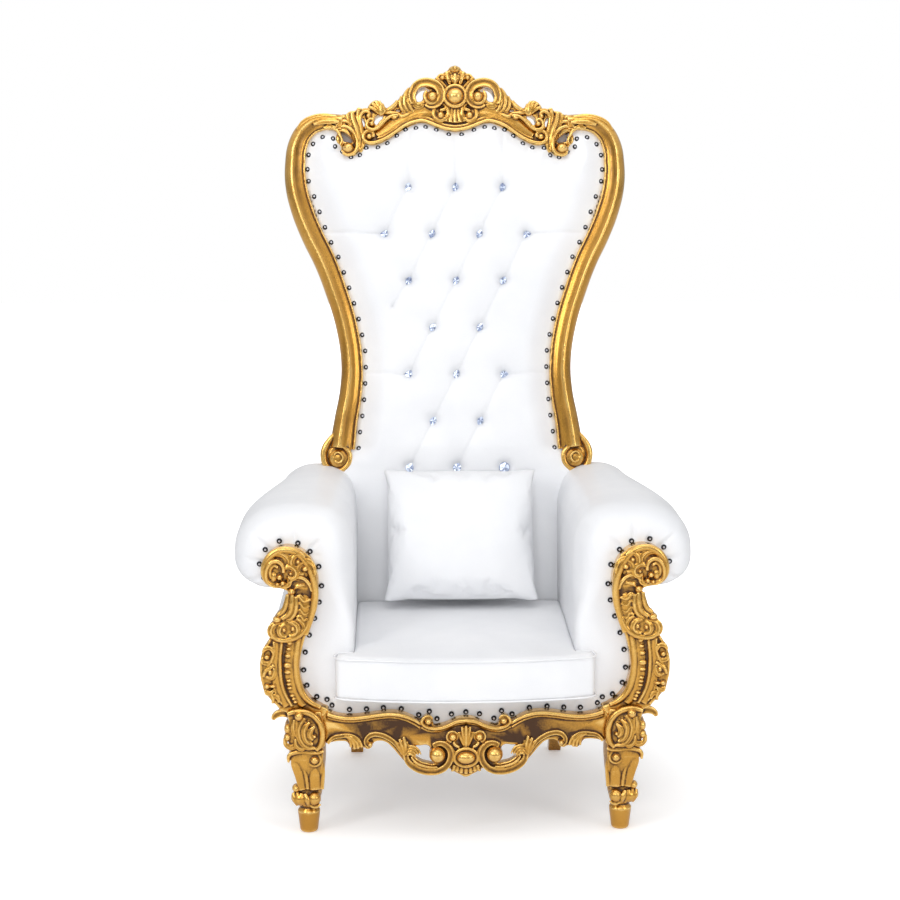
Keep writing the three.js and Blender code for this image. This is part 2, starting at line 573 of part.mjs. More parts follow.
/** A crystal button: a faceted stud that sits in its tuft. */
function crystal([x, y]) {
  const height = 9;
  const stud = new THREE.ConeGeometry(BUTTON_RADIUS, height, 6).rotateX(Math.PI / 2);
  return stud.translate(x, y, backSwell(x, y) + 6.6 + height / 2);
}

/** The side rail on the right, under the arm, and the rail between the back legs. */
function sideRail() {
  const [front, back] = [LEG_Y + 38 + GAP, backFront(LEG_TOP)];
  const rail = plainRail(back - front, 24).rotateX(Math.PI / 2).rotateZ(Math.PI / 2);
  return rail.translate(412, front, 0);
}

function backRail() {
  const half = VOLUTE_X + 31;
  const rail = plainRail(2 * half, 24).translate(-half, 0, 0).rotateX(Math.PI / 2);
  return rail.translate(0, backFront(LEG_TOP) + 12, 0);
}

const chair = new THREE.Group();
chair.add(...[
  ...pair("back_stile", lean(stile()), GOLD),
  mesh("crest_rail", lean(crest()), GOLD),
  ...pair("arm_front", armFront(), GOLD),
  mesh("front_rail", frontRail(), GOLD),
  ...pair("front_leg", frontLeg().translate(LEG_X, LEG_Y, 0), GOLD),
  ...pair("rear_leg", rearLeg().translate(REAR_LEG_X, REAR_LEG_Y, 0), GOLD),
  ...pair("side_rail", sideRail(), GOLD),
  mesh("back_rail", backRail(), GOLD),
  ...pair("arm_pad", armPad(), LEATHER),
  mesh("back_pad", lean(backPad()), LEATHER),
  mesh("outside_back", lean(outsideBack()), LEATHER),
  ...buttonPlaces().map((place, i) =>
    mesh("crystal_button_" + String(i + 1).padStart(2, "0"), lean(crystal(place)), CRYSTAL)),
  mesh("seat_deck", seatDeck(), LEATHER),
  mesh("seat_cushion", seatCushion(), LEATHER),
  mesh("pillow", pillow().translate(4, 52, 630), LEATHER),
]);

// The origin goes under the middle of the chair's own box.
const middle = new THREE.Box3().setFromObject(chair).getCenter(new THREE.Vector3());
chair.position.set(-middle.x, -middle.y, 0);
export default chair;
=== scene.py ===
# %% [markdown]
# # A gilded armchair with a tufted leather back
#
# The chair is a carved hardwood frame, gessoed and gilded, with white leather upholstery. It is made here
# in the order that a chair maker would see it: first the tools for carving and padding, then the materials,
# the gilded frame from the top rail down to the feet, the upholstery, and last the nails and crystals.
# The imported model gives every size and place, so the first step is to load it.

import math

import bmesh
import bpy
import numpy as np
from mathutils import Matrix, Vector, kdtree


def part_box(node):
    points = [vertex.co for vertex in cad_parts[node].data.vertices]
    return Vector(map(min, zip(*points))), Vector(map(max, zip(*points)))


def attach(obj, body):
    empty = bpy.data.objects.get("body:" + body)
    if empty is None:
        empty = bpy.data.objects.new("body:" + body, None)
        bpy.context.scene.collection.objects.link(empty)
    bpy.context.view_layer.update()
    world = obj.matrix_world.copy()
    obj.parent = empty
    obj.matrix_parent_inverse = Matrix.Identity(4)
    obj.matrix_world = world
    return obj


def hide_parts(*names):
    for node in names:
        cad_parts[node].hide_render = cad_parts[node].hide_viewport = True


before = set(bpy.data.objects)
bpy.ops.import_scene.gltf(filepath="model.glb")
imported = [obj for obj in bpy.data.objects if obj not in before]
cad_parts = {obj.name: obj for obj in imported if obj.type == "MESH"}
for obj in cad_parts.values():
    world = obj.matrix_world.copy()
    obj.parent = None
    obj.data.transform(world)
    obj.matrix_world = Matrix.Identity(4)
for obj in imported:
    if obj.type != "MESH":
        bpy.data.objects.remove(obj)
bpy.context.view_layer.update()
scene = bpy.context.scene

# %% [markdown]
# ## Where the carved boards stand
#
# A carver works on a flat board, so each carved piece is drawn flat, in millimetres: x to the right, y up
# the board and z out of it, towards somebody facing the chair. Two matrices then stand the boards up. The
# boards of the back lean with it: the back's front face starts where the side rails end. The arm fronts, the
# front rail and the legs stand upright.

# %% Two board spaces
MM = 0.001
BACK_LEAN = math.radians(8.8)
LEG_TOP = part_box("front_leg_right")[1].z / MM
FRAME_THICK = 46
ARM_FRONT_THICK = 36
BACK_FOOT_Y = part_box("side_rail_right")[1].y
FACE_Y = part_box("arm_front_right")[1].y - ARM_FRONT_THICK * MM

upright = Matrix.Rotation(math.pi / 2, 4, "X") @ Matrix.Scale(MM, 4)
FRONT = Matrix.Translation((0, FACE_Y, 0)) @ upright
LEANING = Matrix.Translation((0, BACK_FOOT_Y, LEG_TOP * MM)) @ Matrix.Rotation(-BACK_LEAN, 4, "X") @ upright


def slope(z):
    """The distance up the leaning back of a height above the floor."""
    return (z - LEG_TOP) / math.cos(BACK_LEAN)


def on_back(points):
    return [(x, slope(z)) for x, z in points]


def flipped(points):
    return [(-x, y) for x, y in points]


print("back face starts at y =", round(BACK_FOOT_Y, 3), "and the front face is at", round(FACE_Y, 3))

# %% [markdown]
# ## Carver's tools
#
# Nearly everything on the frame is a line of carving: a bead, a scroll, a rib of a leaf. A real carver cuts
# such a line with one gouge, which leaves the same section all the way and tapers off at its ends. So one
# line is a section swept along a smooth curve whose radius changes. A board is a filled outline with rounded
# edges, an eye or a ball is a squashed sphere, and a leaf is a handful of ribs that spread from a root.
#
# All the parts of a piece are then fused into one skin, as if cut from one plank: a voxel remesh joins them,
# a little smoothing takes the sharpness that gesso fills, and a decimation keeps the count in bounds.

# %% Curves, boards and balls
def taken(data):
    """The mesh that a curve makes, as a bmesh, with its seams merged."""
    holder = bpy.data.objects.new("holder", data)
    scene.collection.objects.link(holder)
    depsgraph = bpy.context.evaluated_depsgraph_get()
    mesh = bpy.data.meshes.new_from_object(holder.evaluated_get(depsgraph), depsgraph=depsgraph)
    bpy.data.objects.remove(holder)
    bpy.data.curves.remove(data)
    part = bmesh.new()
    part.from_mesh(mesh)
    bpy.data.meshes.remove(mesh)
    bmesh.ops.remove_doubles(part, verts=part.verts, dist=1e-3)
    return part


def draw(curve, points, cyclic=False, smooth=True, radii=None):
    """Adds one line through a few points to a curve. A point may have a height as its third number."""
    spline = curve.splines.new("BEZIER")
    spline.bezier_points.add(len(points) - 1)
    spline.use_cyclic_u = cyclic
    for i, point in enumerate(points):
        knot = spline.bezier_points[i]
        knot.co = (*point, 0)[:3]
        knot.handle_left_type = knot.handle_right_type = "AUTO" if smooth else "VECTOR"
        if radii:
            share = i / (len(points) - 1)
            knot.radius = float(np.interp(share, np.linspace(0, 1, len(radii)), radii))


def section(name, points):
    """The outline that a gouge leaves, one unit half wide. x runs to the right of the line and y outwards."""
    curve = bpy.data.curves.new(name, "CURVE")
    curve.dimensions = "2D"
    spline = curve.splines.new("POLY")
    spline.points.add(len(points) - 1)
    for knot, (x, y) in zip(spline.points, points):
        knot.co = (x, y, 0, 1)
    spline.use_cyclic_u = True
    made = bpy.data.objects.new(name, curve)
    scene.collection.objects.link(made)
    return made


ROUND = section("round", [(math.cos(a), math.sin(a)) for a in np.linspace(0, 2 * math.pi, 12,
                                                                          endpoint=False)])
RIDGE = section("ridge", [(1, -0.9), (0.97, 0), (0.75, 0.42), (0.35, 0.66), (0, 0.72), (-0.35, 0.66),
                          (-0.75, 0.42), (-0.97, 0), (-1, -0.9)])
SWELL = section("swell", [(1, -0.8), (0.96, 0), (0.75, 0.2), (0.4, 0.34), (0, 0.38), (-0.4, 0.34),
                          (-0.75, 0.2), (-0.96, 0), (-1, -0.8)])
COVE = section("cove", [(1, -1), (1, 0.3), (0.88, 0.55), (0.7, 0.58), (0.45, 0.4), (0, 0.3), (-0.45, 0.4),
                        (-0.7, 0.58), (-0.88, 0.55), (-1, 0.3), (-1, -1)])


def strokes(gouge, lines, detail=5):
    """Cuts with one gouge. Each line is its points, its half widths and how far it is lifted."""
    curve = bpy.data.curves.new("strokes", "CURVE")
    curve.dimensions = "3D"
    curve.twist_mode = "Z_UP"
    curve.bevel_mode = "OBJECT"
    curve.bevel_object = gouge
    curve.use_fill_caps = True
    curve.resolution_u = detail
    for points, widths, lift in lines:
        draw(curve, [(p[0], p[1], lift + sum(p[2:])) for p in points], radii=widths)
    return taken(curve)


def plank(outline, thick, holes=(), edge=3, smooth=True):
    """A board with rounded edges whose front face is at z = 0."""
    curve = bpy.data.curves.new("plank", "CURVE")
    curve.dimensions = "2D"
    curve.fill_mode = "BOTH"
    curve.extrude = thick / 2 - edge
    curve.bevel_depth = edge
    curve.bevel_resolution = 2
    curve.offset = -edge
    curve.resolution_u = 5
    for points in [outline, *holes]:
        draw(curve, points, cyclic=True, smooth=smooth)
    part = taken(curve)
    bmesh.ops.translate(part, verts=part.verts, vec=(0, 0, -thick / 2))
    return part


def whole(right_half):
    """A closed outline from its right half, which runs from the top middle to the bottom middle."""
    inner = right_half[1:-1]
    return [right_half[0], *inner, right_half[-1], *flipped(inner[::-1])]


def dome(x, y, wide, tall, rise, lift=0, detail=20):
    """A ball squashed against the board: an eye, a bead or a boss."""
    part = bmesh.new()
    place = Matrix.Translation((x, y, lift)) @ Matrix.Diagonal((wide, tall, rise, 1))
    bmesh.ops.create_uvsphere(part, u_segments=detail, v_segments=detail // 2, radius=1, matrix=place)
    return part


def ring(x, y, wide, tall, width, lift=0, gouge=ROUND):
    """A round moulding that closes on itself."""
    curve = bpy.data.curves.new("ring", "CURVE")
    curve.dimensions = "3D"
    curve.twist_mode = "Z_UP"
    curve.bevel_mode = "OBJECT"
    curve.bevel_object = gouge
    turns = np.linspace(0, 2 * math.pi, 12, endpoint=False)
    draw(curve, [(x + wide * math.cos(a), y + tall * math.sin(a), lift) for a in turns], cyclic=True)
    for knot in curve.splines[0].bezier_points:
        knot.radius = width
    return taken(curve)


def rib(root, tip, bend=0.0, width=4.0, lift=0.0):
    """The line of one rib of a leaf: it starts thin, swells and rounds off at its tip."""
    start, end = Vector(root), Vector(tip)
    across = Vector((-(end - start).y, (end - start).x))
    points = [start.lerp(end, share) + across * bend * 4 * share * (1 - share) for share in (0, 0.3, 0.65,
                                                                                             1)]
    return [tuple(p) for p in points], (0.45 * width, 0.9 * width, width, 0.55 * width), lift


def leaf(root, tips, bend=0.0, width=4.0, lift=2.0):
    """A leaf or shell: ribs that spread from one root to a row of tips, the middle ones highest."""
    lines = []
    for i, tip in enumerate(tips):
        middle = 1 - abs(2 * i / max(1, len(tips) - 1) - 1)
        lines.append(rib(root, tip, bend, width, lift + 2.5 * middle))
    return strokes(RIDGE, lines, detail=4)


def shell(x, y, inner, outer, start, end, count, width, lift=2.0):
    """A fan of straight flutes. Its angles are in degrees, anticlockwise from +x."""
    lines = []
    for a in np.radians(np.linspace(start, end, count)):
        ends = [(x + r * math.cos(a), y + r * math.sin(a)) for r in (inner, (inner + outer) / 2, outer)]
        lines.append((ends, (0.5 * width, 0.85 * width, width), lift))
    return strokes(RIDGE, lines, detail=3)


def cups(x, y, radii, start, end, width, lift=2.0, squash=1.0):
    """Arcs one inside the other, like the folds of a small clam."""
    lines = []
    for i, r in enumerate(radii):
        turns = np.radians(np.linspace(start, end, 5))
        arc = [(x + r * math.cos(a), y + squash * r * math.sin(a)) for a in turns]
        lines.append((arc, (0.5 * width, width, 0.5 * width), lift + 1.5 * (len(radii) - i)))
    return strokes(RIDGE, lines, detail=4)


def offset(points, distance):
    """The points of a line moved to its left by a distance, or by one distance each."""
    line = np.array(points, float)[:, :2]
    run = np.gradient(line, axis=0)
    run /= np.hypot(*run.T)[:, None]
    return line + np.reshape(distance, (-1, 1)) * np.stack([-run[:, 1], run[:, 0]], 1)


def frond(points, width, lift=4.0, ribs=3):
    """A fluted leaf that follows a line: ribs side by side that taper to both ends."""
    taper = np.interp(np.linspace(0, 1, len(points)), [0, 0.3, 0.6, 0.85, 1], [0.45, 0.9, 1, 0.8, 0.4])
    lines = []
    for k in range(ribs):
        side = (2 * k + 1 - ribs) / ribs
        low = 0.35 * width * abs(side)
        lines.append((offset(points, side * width * taper), tuple(1.15 * width * taper / ribs), lift - low))
    return strokes(RIDGE, lines, detail=4)


def volute(x, y, start, end, first, last, width, lift=4.0, gouge=ROUND):
    """A spiral that winds in from radius `first` to `last`."""
    turns = np.linspace(math.radians(start), math.radians(end), max(6, int(abs(end - start) / 35)))
    radii = np.linspace(first, last, len(turns))
    line = [(x + r * math.cos(a), y + r * math.sin(a)) for r, a in zip(radii, turns)]
    return strokes(gouge, [(line, (width, 0.75 * width), lift)], detail=4)


# %% Mirroring, fusing and finishing
def mirrored(parts):
    """Copies of some parts on the other side of the board's middle line."""
    copies = []
    for part in parts:
        copy = part.copy()
        bmesh.ops.scale(copy, verts=copy.verts, vec=(-1, 1, 1))
        bmesh.ops.reverse_faces(copy, faces=copy.faces)
        copies.append(copy)
    return copies


def gathered(parts):
    """Several parts as one mesh. The parts are used up."""
    total = bmesh.new()
    for part in parts:
        mesh = bpy.data.meshes.new("part")
        part.to_mesh(mesh)
        part.free()
        total.from_mesh(mesh)
        bpy.data.meshes.remove(mesh)
    made = bpy.data.meshes.new("gathered")
    total.to_mesh(made)
    total.free()
    return made


def skinned(parts, voxel, rounds=3, keep=1.0):
    """One closed skin over all the parts, as a mesh: remeshed in cubes, smoothed and thinned."""
    holder = bpy.data.objects.new("holder", gathered(parts))
    scene.collection.objects.link(holder)
    remesh = holder.modifiers.new("skin", "REMESH")
    remesh.mode = "VOXEL"
    remesh.voxel_size = voxel
    if rounds:
        soften = holder.modifiers.new("soften", "SMOOTH")
        soften.factor = 0.5
        soften.iterations = rounds
    if keep < 1:
        thin = holder.modifiers.new("thin", "DECIMATE")
        thin.ratio = keep
    depsgraph = bpy.context.evaluated_depsgraph_get()
    mesh = bpy.data.meshes.new_from_object(holder.evaluated_get(depsgraph), depsgraph=depsgraph)
    old = holder.data
    bpy.data.objects.remove(holder)
    bpy.data.meshes.remove(old)
    return mesh


def numbers(collection, attribute, width=1):
    """An attribute of every vertex or edge of a mesh, as an array."""
    values = np.empty(len(collection) * width, int if attribute == "vertices" else float)
    collection.foreach_get(attribute, values)
    return values.reshape(-1, width) if width > 1 else values


def mark_hollows(mesh, name, rounds):
    """Stores how far each vertex lies below a smoothed copy of the surface, in millimetres."""
    count = len(mesh.vertices)
    points = numbers(mesh.vertices, "co", 3)
    a, b = numbers(mesh.edges, "vertices", 2).T
    neighbours = np.maximum(np.bincount(a, minlength=count) + np.bincount(b, minlength=count), 1)
    smooth = points.copy()
    for _ in range(rounds):
        sums = [np.bincount(a, smooth[b, k], count) + np.bincount(b, smooth[a, k], count) for k in range(3)]
        smooth = np.stack(sums, 1) / neighbours[:, None]
    depth = ((smooth - points) * numbers(mesh.vertices, "normal", 3)).sum(1) / MM
    attribute = mesh.attributes.new(name, "FLOAT", "POINT")
    attribute.data.foreach_set("value", depth)


def moved(mesh, move):
    """Moves the vertices of a mesh by a function from an array of points to new points."""
    points = numbers(mesh.vertices, "co", 3)
    mesh.vertices.foreach_set("co", move(points).reshape(-1))
    mesh.update()
    return mesh


def placed(name, mesh, space, nodes, material, hollows=True):
    """A finished piece of the chair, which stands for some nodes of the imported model."""
    mesh.name = name
    mesh.transform(space)
    if space.determinant() < 0:
        mesh.flip_normals()
    mesh.polygons.foreach_set("use_smooth", [True] * len(mesh.polygons))
    mesh.update()
    if hollows:
        mark_hollows(mesh, "groove", 5)
        mark_hollows(mesh, "hollow", 40)
    if mesh.materials:
        mesh.materials.clear()
    mesh.materials.append(material)
    piece = bpy.data.objects.new(name, mesh)
    scene.collection.objects.link(piece)
    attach(piece, "root")
    if nodes:
        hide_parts(*nodes)
    print(name, "has", len(mesh.polygons), "faces")
    return piece


MIRROR = Matrix.Scale(-1, 4, (1, 0, 0))


def placed_pair(name, mesh, space, node, material, hollows=True):
    """A right-hand piece and its mirror image."""
    other = mesh.copy()
    right = placed(name + "_right", mesh, space, [node + "_right"], material, hollows)
    left = placed(name + "_left", other, MIRROR @ space, [node + "_left"], material, hollows)
    return right, left


# %% [markdown]
# ## Materials
#
# The gilding is a satin gold paint over gesso. It is lightest on the high edges, partly where hands and cloth
# rub them and partly as a painted highlight, and it is brown in the hollows, partly from a brown wash and partly
# as painted shade. The pieces carry two numbers at every vertex: how deep it lies in a small groove and in a
# broad hollow. The gold reads both and mixes its colours by them. A slow noise keeps any two places from being
# quite the same, and painted shade makes the gold a little darker near the floor.

# %% Helpers for node materials
def tree_of(name):
    material = bpy.data.materials.new(name)
    material.use_nodes = True
    nodes = material.node_tree.nodes
    return material, material.node_tree, nodes["Principled BSDF"]


def plain(shader, **values):
    """Sets plain values on a shader. A socket's spaces are written as underscores."""
    for name, value in values.items():
        shader.inputs[name.replace("_", " ")].default_value = value


def noise(tree, scale, detail=3.0, rough=0.55):
    """Noise in object space, with the scale in cells per metre."""
    place = tree.nodes.new("ShaderNodeTexCoord")
    made = tree.nodes.new("ShaderNodeTexNoise")
    made.inputs["Scale"].default_value = scale
    made.inputs["Detail"].default_value = detail
    made.inputs["Roughness"].default_value = rough
    tree.links.new(place.outputs["Object"], made.inputs["Vector"])
    return made.outputs["Fac"]


def maths(tree, operation, a, b, clamp=False):
    made = tree.nodes.new("ShaderNodeMath")
    made.operation = operation
    made.use_clamp = clamp
    for socket, value in zip(made.inputs, (a, b)):
        if isinstance(value, (int, float)):
            socket.default_value = value
        else:
            tree.links.new(value, socket)
    return made.outputs[0]


def remap(tree, value, low, high, to_low=0.0, to_high=1.0):
    made = tree.nodes.new("ShaderNodeMapRange")
    tree.links.new(value, made.inputs["Value"])
    for name, number in zip(("From Min", "From Max", "To Min", "To Max"), (low, high, to_low, to_high)):
        made.inputs[name].default_value = number
    return made.outputs["Result"]


def mix(tree, share, a, b):
    """A mix of two colours, each a tuple or a socket."""
    made = tree.nodes.new("ShaderNodeMix")
    made.data_type = "RGBA"
    tree.links.new(share, made.inputs["Factor"])
    for socket, value in ((made.inputs["A"], a), (made.inputs["B"], b)):
        pair = [s for s in made.inputs if s.name == socket.name and s.type == "RGBA"][0]
        if isinstance(value, tuple):
            pair.default_value = (*value, 1)
        else:
            tree.links.new(value, pair)
    return [s for s in made.outputs if s.type == "RGBA"][0]


def stored(tree, name):
    made = tree.nodes.new("ShaderNodeAttribute")
    made.attribute_name = name
    return made.outputs["Fac"]


def bump(tree, height, strength, distance):
    made = tree.nodes.new("ShaderNodeBump")
    made.inputs["Strength"].default_value = strength
    made.inputs["Distance"].default_value = distance
    tree.links.new(height, made.inputs["Height"])
    return made.outputs["Normal"]


def group_of(name, outputs):
    """An empty node group with the given outputs, and its output node."""
    group = bpy.data.node_groups.new(name, "ShaderNodeTree")
    for label, kind in outputs:
        group.interface.new_socket(label, in_out="OUTPUT", socket_type=kind)
    return group, group.nodes.new("NodeGroupOutput")


def use(tree, group):
    made = tree.nodes.new("ShaderNodeGroup")
    made.node_tree = group
    return made.outputs


# %% Gilding
def gilding():
    """Colour, roughness and surface of gold: lighter on the high edges, partly from rubbing and partly as a
    painted highlight, brown in the hollows, partly a wash and partly painted shade, and darker near the floor as
    painted shade.
    """
    group, out = group_of("gilding", [("Colour", "NodeSocketColor"), ("Roughness", "NodeSocketFloat"),
                                      ("Normal", "NodeSocketVector")])
    groove = stored(group, "groove")
    hollow = stored(group, "hollow")
    patches = noise(group, 9, 4)
    speckle = noise(group, 220, 3, 0.7)
    uneven = maths(group, "MULTIPLY_ADD", patches, 0.5)
    depth = maths(group, "ADD", maths(group, "MULTIPLY", groove, 1.4), maths(group, "MULTIPLY", hollow,
                                                                             0.07))
    depth = maths(group, "ADD", depth, remap(group, speckle, 0.3, 0.7, -0.12, 0.12))
    # Painted shade: the gold is darker the nearer it is to the floor.
    place = group.nodes.new("ShaderNodeTexCoord")
    height = group.nodes.new("ShaderNodeSeparateXYZ")
    group.links.new(place.outputs["Object"], height.inputs["Vector"])
    depth = maths(group, "ADD", depth, remap(group, height.outputs["Z"], 0.0, 0.45, 0.22, 0.0))
    # The hollows turn dark brown: partly a real brown wash, partly painted shade.
    wash_and_shade = remap(group, depth, 0.06, 0.8)
    # The high edges turn pale gold: partly real rubbing, partly a painted highlight.
    rubbed_and_highlight = remap(group, depth, -0.2, -0.9)
    gold = mix(group, remap(group, patches, 0.3, 0.7), (0.53, 0.25, 0.027), (0.64, 0.33, 0.048))
    highlit = mix(group, rubbed_and_highlight, gold, (0.90, 0.58, 0.17))
    washed_and_shaded = mix(group, wash_and_shade, highlit, (0.07, 0.026, 0.005))
    link = group.links.new
    link(washed_and_shaded, out.inputs["Colour"])
    rough = maths(group, "ADD", remap(group, uneven, 0.2, 0.8, 0.17, 0.26), maths(group, "MULTIPLY", wash_and_shade,
                                                                                  0.25))
    link(rough, out.inputs["Roughness"])
    grain = maths(group, "ADD", noise(group, 380, 2), maths(group, "MULTIPLY", noise(group, 90, 2), 1.5))
    link(bump(group, grain, 0.08, 0.0012), out.inputs["Normal"])
    return group


GOLD, gold_tree, gold_shader = tree_of("gilded_wood")
plain(gold_shader, Metallic=0.94, Coat_Weight=0.55, Coat_Roughness=0.2, Specular_IOR_Level=0.5)
gold_out = use(gold_tree, gilding())
for label, socket in (("Colour", "Base Color"), ("Roughness", "Roughness"), ("Normal", "Normal")):
    gold_tree.links.new(gold_out[label], gold_shader.inputs[socket])

# %% [markdown]
# The leather is a white coated hide: a fine pebble grain about a millimetre across, soft broad creases, and
# a low sheen. The colour is almost even, a cool white that greys a little in patches. The piping is the same
# leather rolled round a cord, and the nails are blackened metal with a painted highlight on their tops.
#
# The crystals are clear glass with a silvered back. Each facet of the back has its own brightness, drawn with
# a fixed seed, and glows faintly, which stands in for the light that a cut stone gathers and throws back.

# %% Leather, glass and metal
def grained():
    """Colour, roughness and surface of white leather."""
    group, out = group_of("leather_grain", [("Colour", "NodeSocketColor"), ("Roughness", "NodeSocketFloat"),
                                            ("Normal", "NodeSocketVector")])
    place = group.nodes.new("ShaderNodeTexCoord")
    pebbles = group.nodes.new("ShaderNodeTexVoronoi")
    pebbles.feature = "DISTANCE_TO_EDGE"
    pebbles.inputs["Scale"].default_value = 620
    group.links.new(place.outputs["Object"], pebbles.inputs["Vector"])
    creases = noise(group, 26, 4, 0.6)
    patches = noise(group, 5, 3)
    grain = remap(group, pebbles.outputs["Distance"], 0.0, 0.22)
    white = mix(group, remap(group, patches, 0.35, 0.65), (0.75, 0.76, 0.785), (0.80, 0.807, 0.826))
    greyed = mix(group, remap(group, grain, 0.0, 0.5, 0.10, 0.0), white, (0.45, 0.46, 0.50))
    group.links.new(greyed, out.inputs["Colour"])
    group.links.new(remap(group, creases, 0.3, 0.7, 0.40, 0.52), out.inputs["Roughness"])
    height = maths(group, "ADD", maths(group, "MULTIPLY", grain, 0.25), maths(group, "MULTIPLY", creases,
                                                                              2.2))
    group.links.new(bump(group, height, 0.22, 0.0016), out.inputs["Normal"])
    return group


LEATHER, leather_tree, leather_shader = tree_of("white_leather")
plain(leather_shader, Specular_IOR_Level=0.45, Coat_Weight=0.08, Coat_Roughness=0.3)
leather_out = use(leather_tree, grained())
for label, socket in (("Colour", "Base Color"), ("Roughness", "Roughness"), ("Normal", "Normal")):
    leather_tree.links.new(leather_out[label], leather_shader.inputs[socket])

CRYSTAL, _, crystal_shader = tree_of("crystal")
plain(crystal_shader, Base_Color=(0.82, 0.88, 1.0, 1), Transmission_Weight=1.0, IOR=1.4, Roughness=0.02)

# The foil's facets carry painted reflections of random brightness, and the foil glows faintly with painted
# light.
FOIL, foil_tree, foil_shader = tree_of("crystal_foil")
plain(foil_shader, Metallic=0.6, Roughness=0.3, Emission_Strength=0.45)
foil_and_glow_colour = mix(foil_tree, stored(foil_tree, "spark"), (0.17, 0.20, 0.29), (0.93, 0.96, 1.0))
foil_tree.links.new(foil_and_glow_colour, foil_shader.inputs["Base Color"])
foil_tree.links.new(foil_and_glow_colour, foil_shader.inputs["Emission Color"])

NAIL, nail_tree, nail_shader = tree_of("nail_metal")
plain(nail_shader, Metallic=0.5, Specular_IOR_Level=0.3)
nail_colour = mix(nail_tree, remap(nail_tree, noise(nail_tree, 300, 2), 0.35, 0.65), (0.010, 0.010, 0.013),
                  (0.026, 0.026, 0.031))
nail_tree.links.new(nail_colour, nail_shader.inputs["Base Color"])
nail_tree.links.new(remap(nail_tree, noise(nail_tree, 500, 2), 0.3, 0.7, 0.2, 0.32),
                    nail_shader.inputs["Roughness"])

# The nails' tops are painted light grey: a painted highlight.
NAIL_GLINT, glint_tree, glint_shader = tree_of("nail_top")
plain(glint_shader, Metallic=0.35, Roughness=0.35)
glint_colour = mix(glint_tree, remap(glint_tree, noise(glint_tree, 300, 2), 0.35, 0.65), (0.40, 0.40, 0.44),
                  (0.62, 0.62, 0.66))
glint_tree.links.new(glint_colour, glint_shader.inputs["Base Color"])
print("materials:", ", ".join(m.name for m in bpy.data.materials))

# %% [markdown]
# ## The top rail
#
# The rail is one pierced plank. A plain concave band runs along it above a bead, and everything else stands
# on that: a domed cartouche under a shell in the middle, a big C-scroll with a ball in its eye on either side,
# leaves that wrap round the scroll's shoulder, a small shell that breaks the top line, three volutes, and a
# long leaf and a last scroll where the rail meets the stile.

# %% Outline and piercings
crest_top = [(0, 1833), (12, 1830), (20, 1820), (30, 1815), (36, 1810), (46, 1805), (54, 1799), (68, 1797),
             (84, 1797), (98, 1792), (112, 1783), (124, 1773), (134, 1762), (146, 1749), (158, 1735),
             (168, 1727), (180, 1722), (188, 1731), (198, 1740), (207, 1743), (218, 1739), (228, 1728),
             (232, 1721), (244, 1721), (255, 1724), (262, 1716), (270, 1715), (279, 1713), (288, 1706),
             (297, 1706)]
crest_corner = [(297, 1680), (304, 1668), (311, 1655), (309, 1632), (300, 1620), (300, 1606), (288, 1597),
                (272, 1596), (258, 1603)]
crest_foot = [(248, 1622), (244, 1630), (232, 1627), (214, 1626), (196, 1631), (178, 1640), (160, 1651),
              (142, 1664), (126, 1674), (104, 1682), (84, 1684), (66, 1679), (44, 1670), (22, 1664),
              (0, 1661)]
crest_holes = [
    [(105, 1744), (103, 1758), (96, 1769), (84, 1776), (72, 1773), (66, 1768), (76, 1764), (83, 1755),
     (86, 1743), (96, 1739)],
    [(213, 1692), (203, 1704), (193, 1706), (189, 1700), (199, 1688), (208, 1679)],
    [(252, 1694), (244, 1696), (238, 1686), (240, 1668), (246, 1655), (250, 1664), (252, 1680)],
    [(303, 1660), (294, 1659), (282, 1652), (272, 1641), (270, 1634), (284, 1634), (293, 1636),
     (299, 1647)],
    [(156, 1716), (149, 1719), (144, 1716), (150, 1712)],
]
outline = whole(on_back([*crest_top, *crest_corner, *crest_foot]))
holes = [on_back(hole) for hole in crest_holes]
crest_plank = plank(outline, FRAME_THICK, [*holes, *map(flipped, holes)], edge=3)

# %% The band and its mouldings
def back_lines(gouge, lines, detail=5):
    return strokes(gouge, [(on_back(points), widths, lift) for points, widths, lift in lines], detail)


band = back_lines(ROUND, [
    ([(0, 1665), (24, 1668), (46, 1675), (68, 1684), (86, 1689), (106, 1686), (128, 1678), (146, 1667),
      (164, 1654), (182, 1643), (200, 1635), (216, 1631), (232, 1632), (241, 1642), (238, 1656),
      (226, 1661), (216, 1655), (215, 1645)], (4.5, 4.5, 4.5, 5.5, 4.5), 6),
    ([(0, 1674), (28, 1678), (52, 1687), (76, 1696), (98, 1697), (122, 1690), (146, 1676), (170, 1660),
      (190, 1648), (206, 1643)], (3, 3, 2), 4),
    ([(150, 1702), (166, 1700), (180, 1692), (194, 1678), (206, 1668), (220, 1665), (231, 1672),
      (230, 1685), (221, 1692), (213, 1686)], (4, 4.5, 5, 4), 8),
])
swell = back_lines(SWELL, [
    ([(36, 1700), (58, 1708), (80, 1711), (104, 1706), (128, 1696), (152, 1682), (178, 1664), (204, 1648)],
     (20, 25, 25, 23, 15), -2),
])
volute_eyes = [dome(226, slope(1647), 9, 9, 14), dome(219, slope(1680), 8, 8, 15), dome(160, slope(1697),
                                                                                        10, 7, 13)]

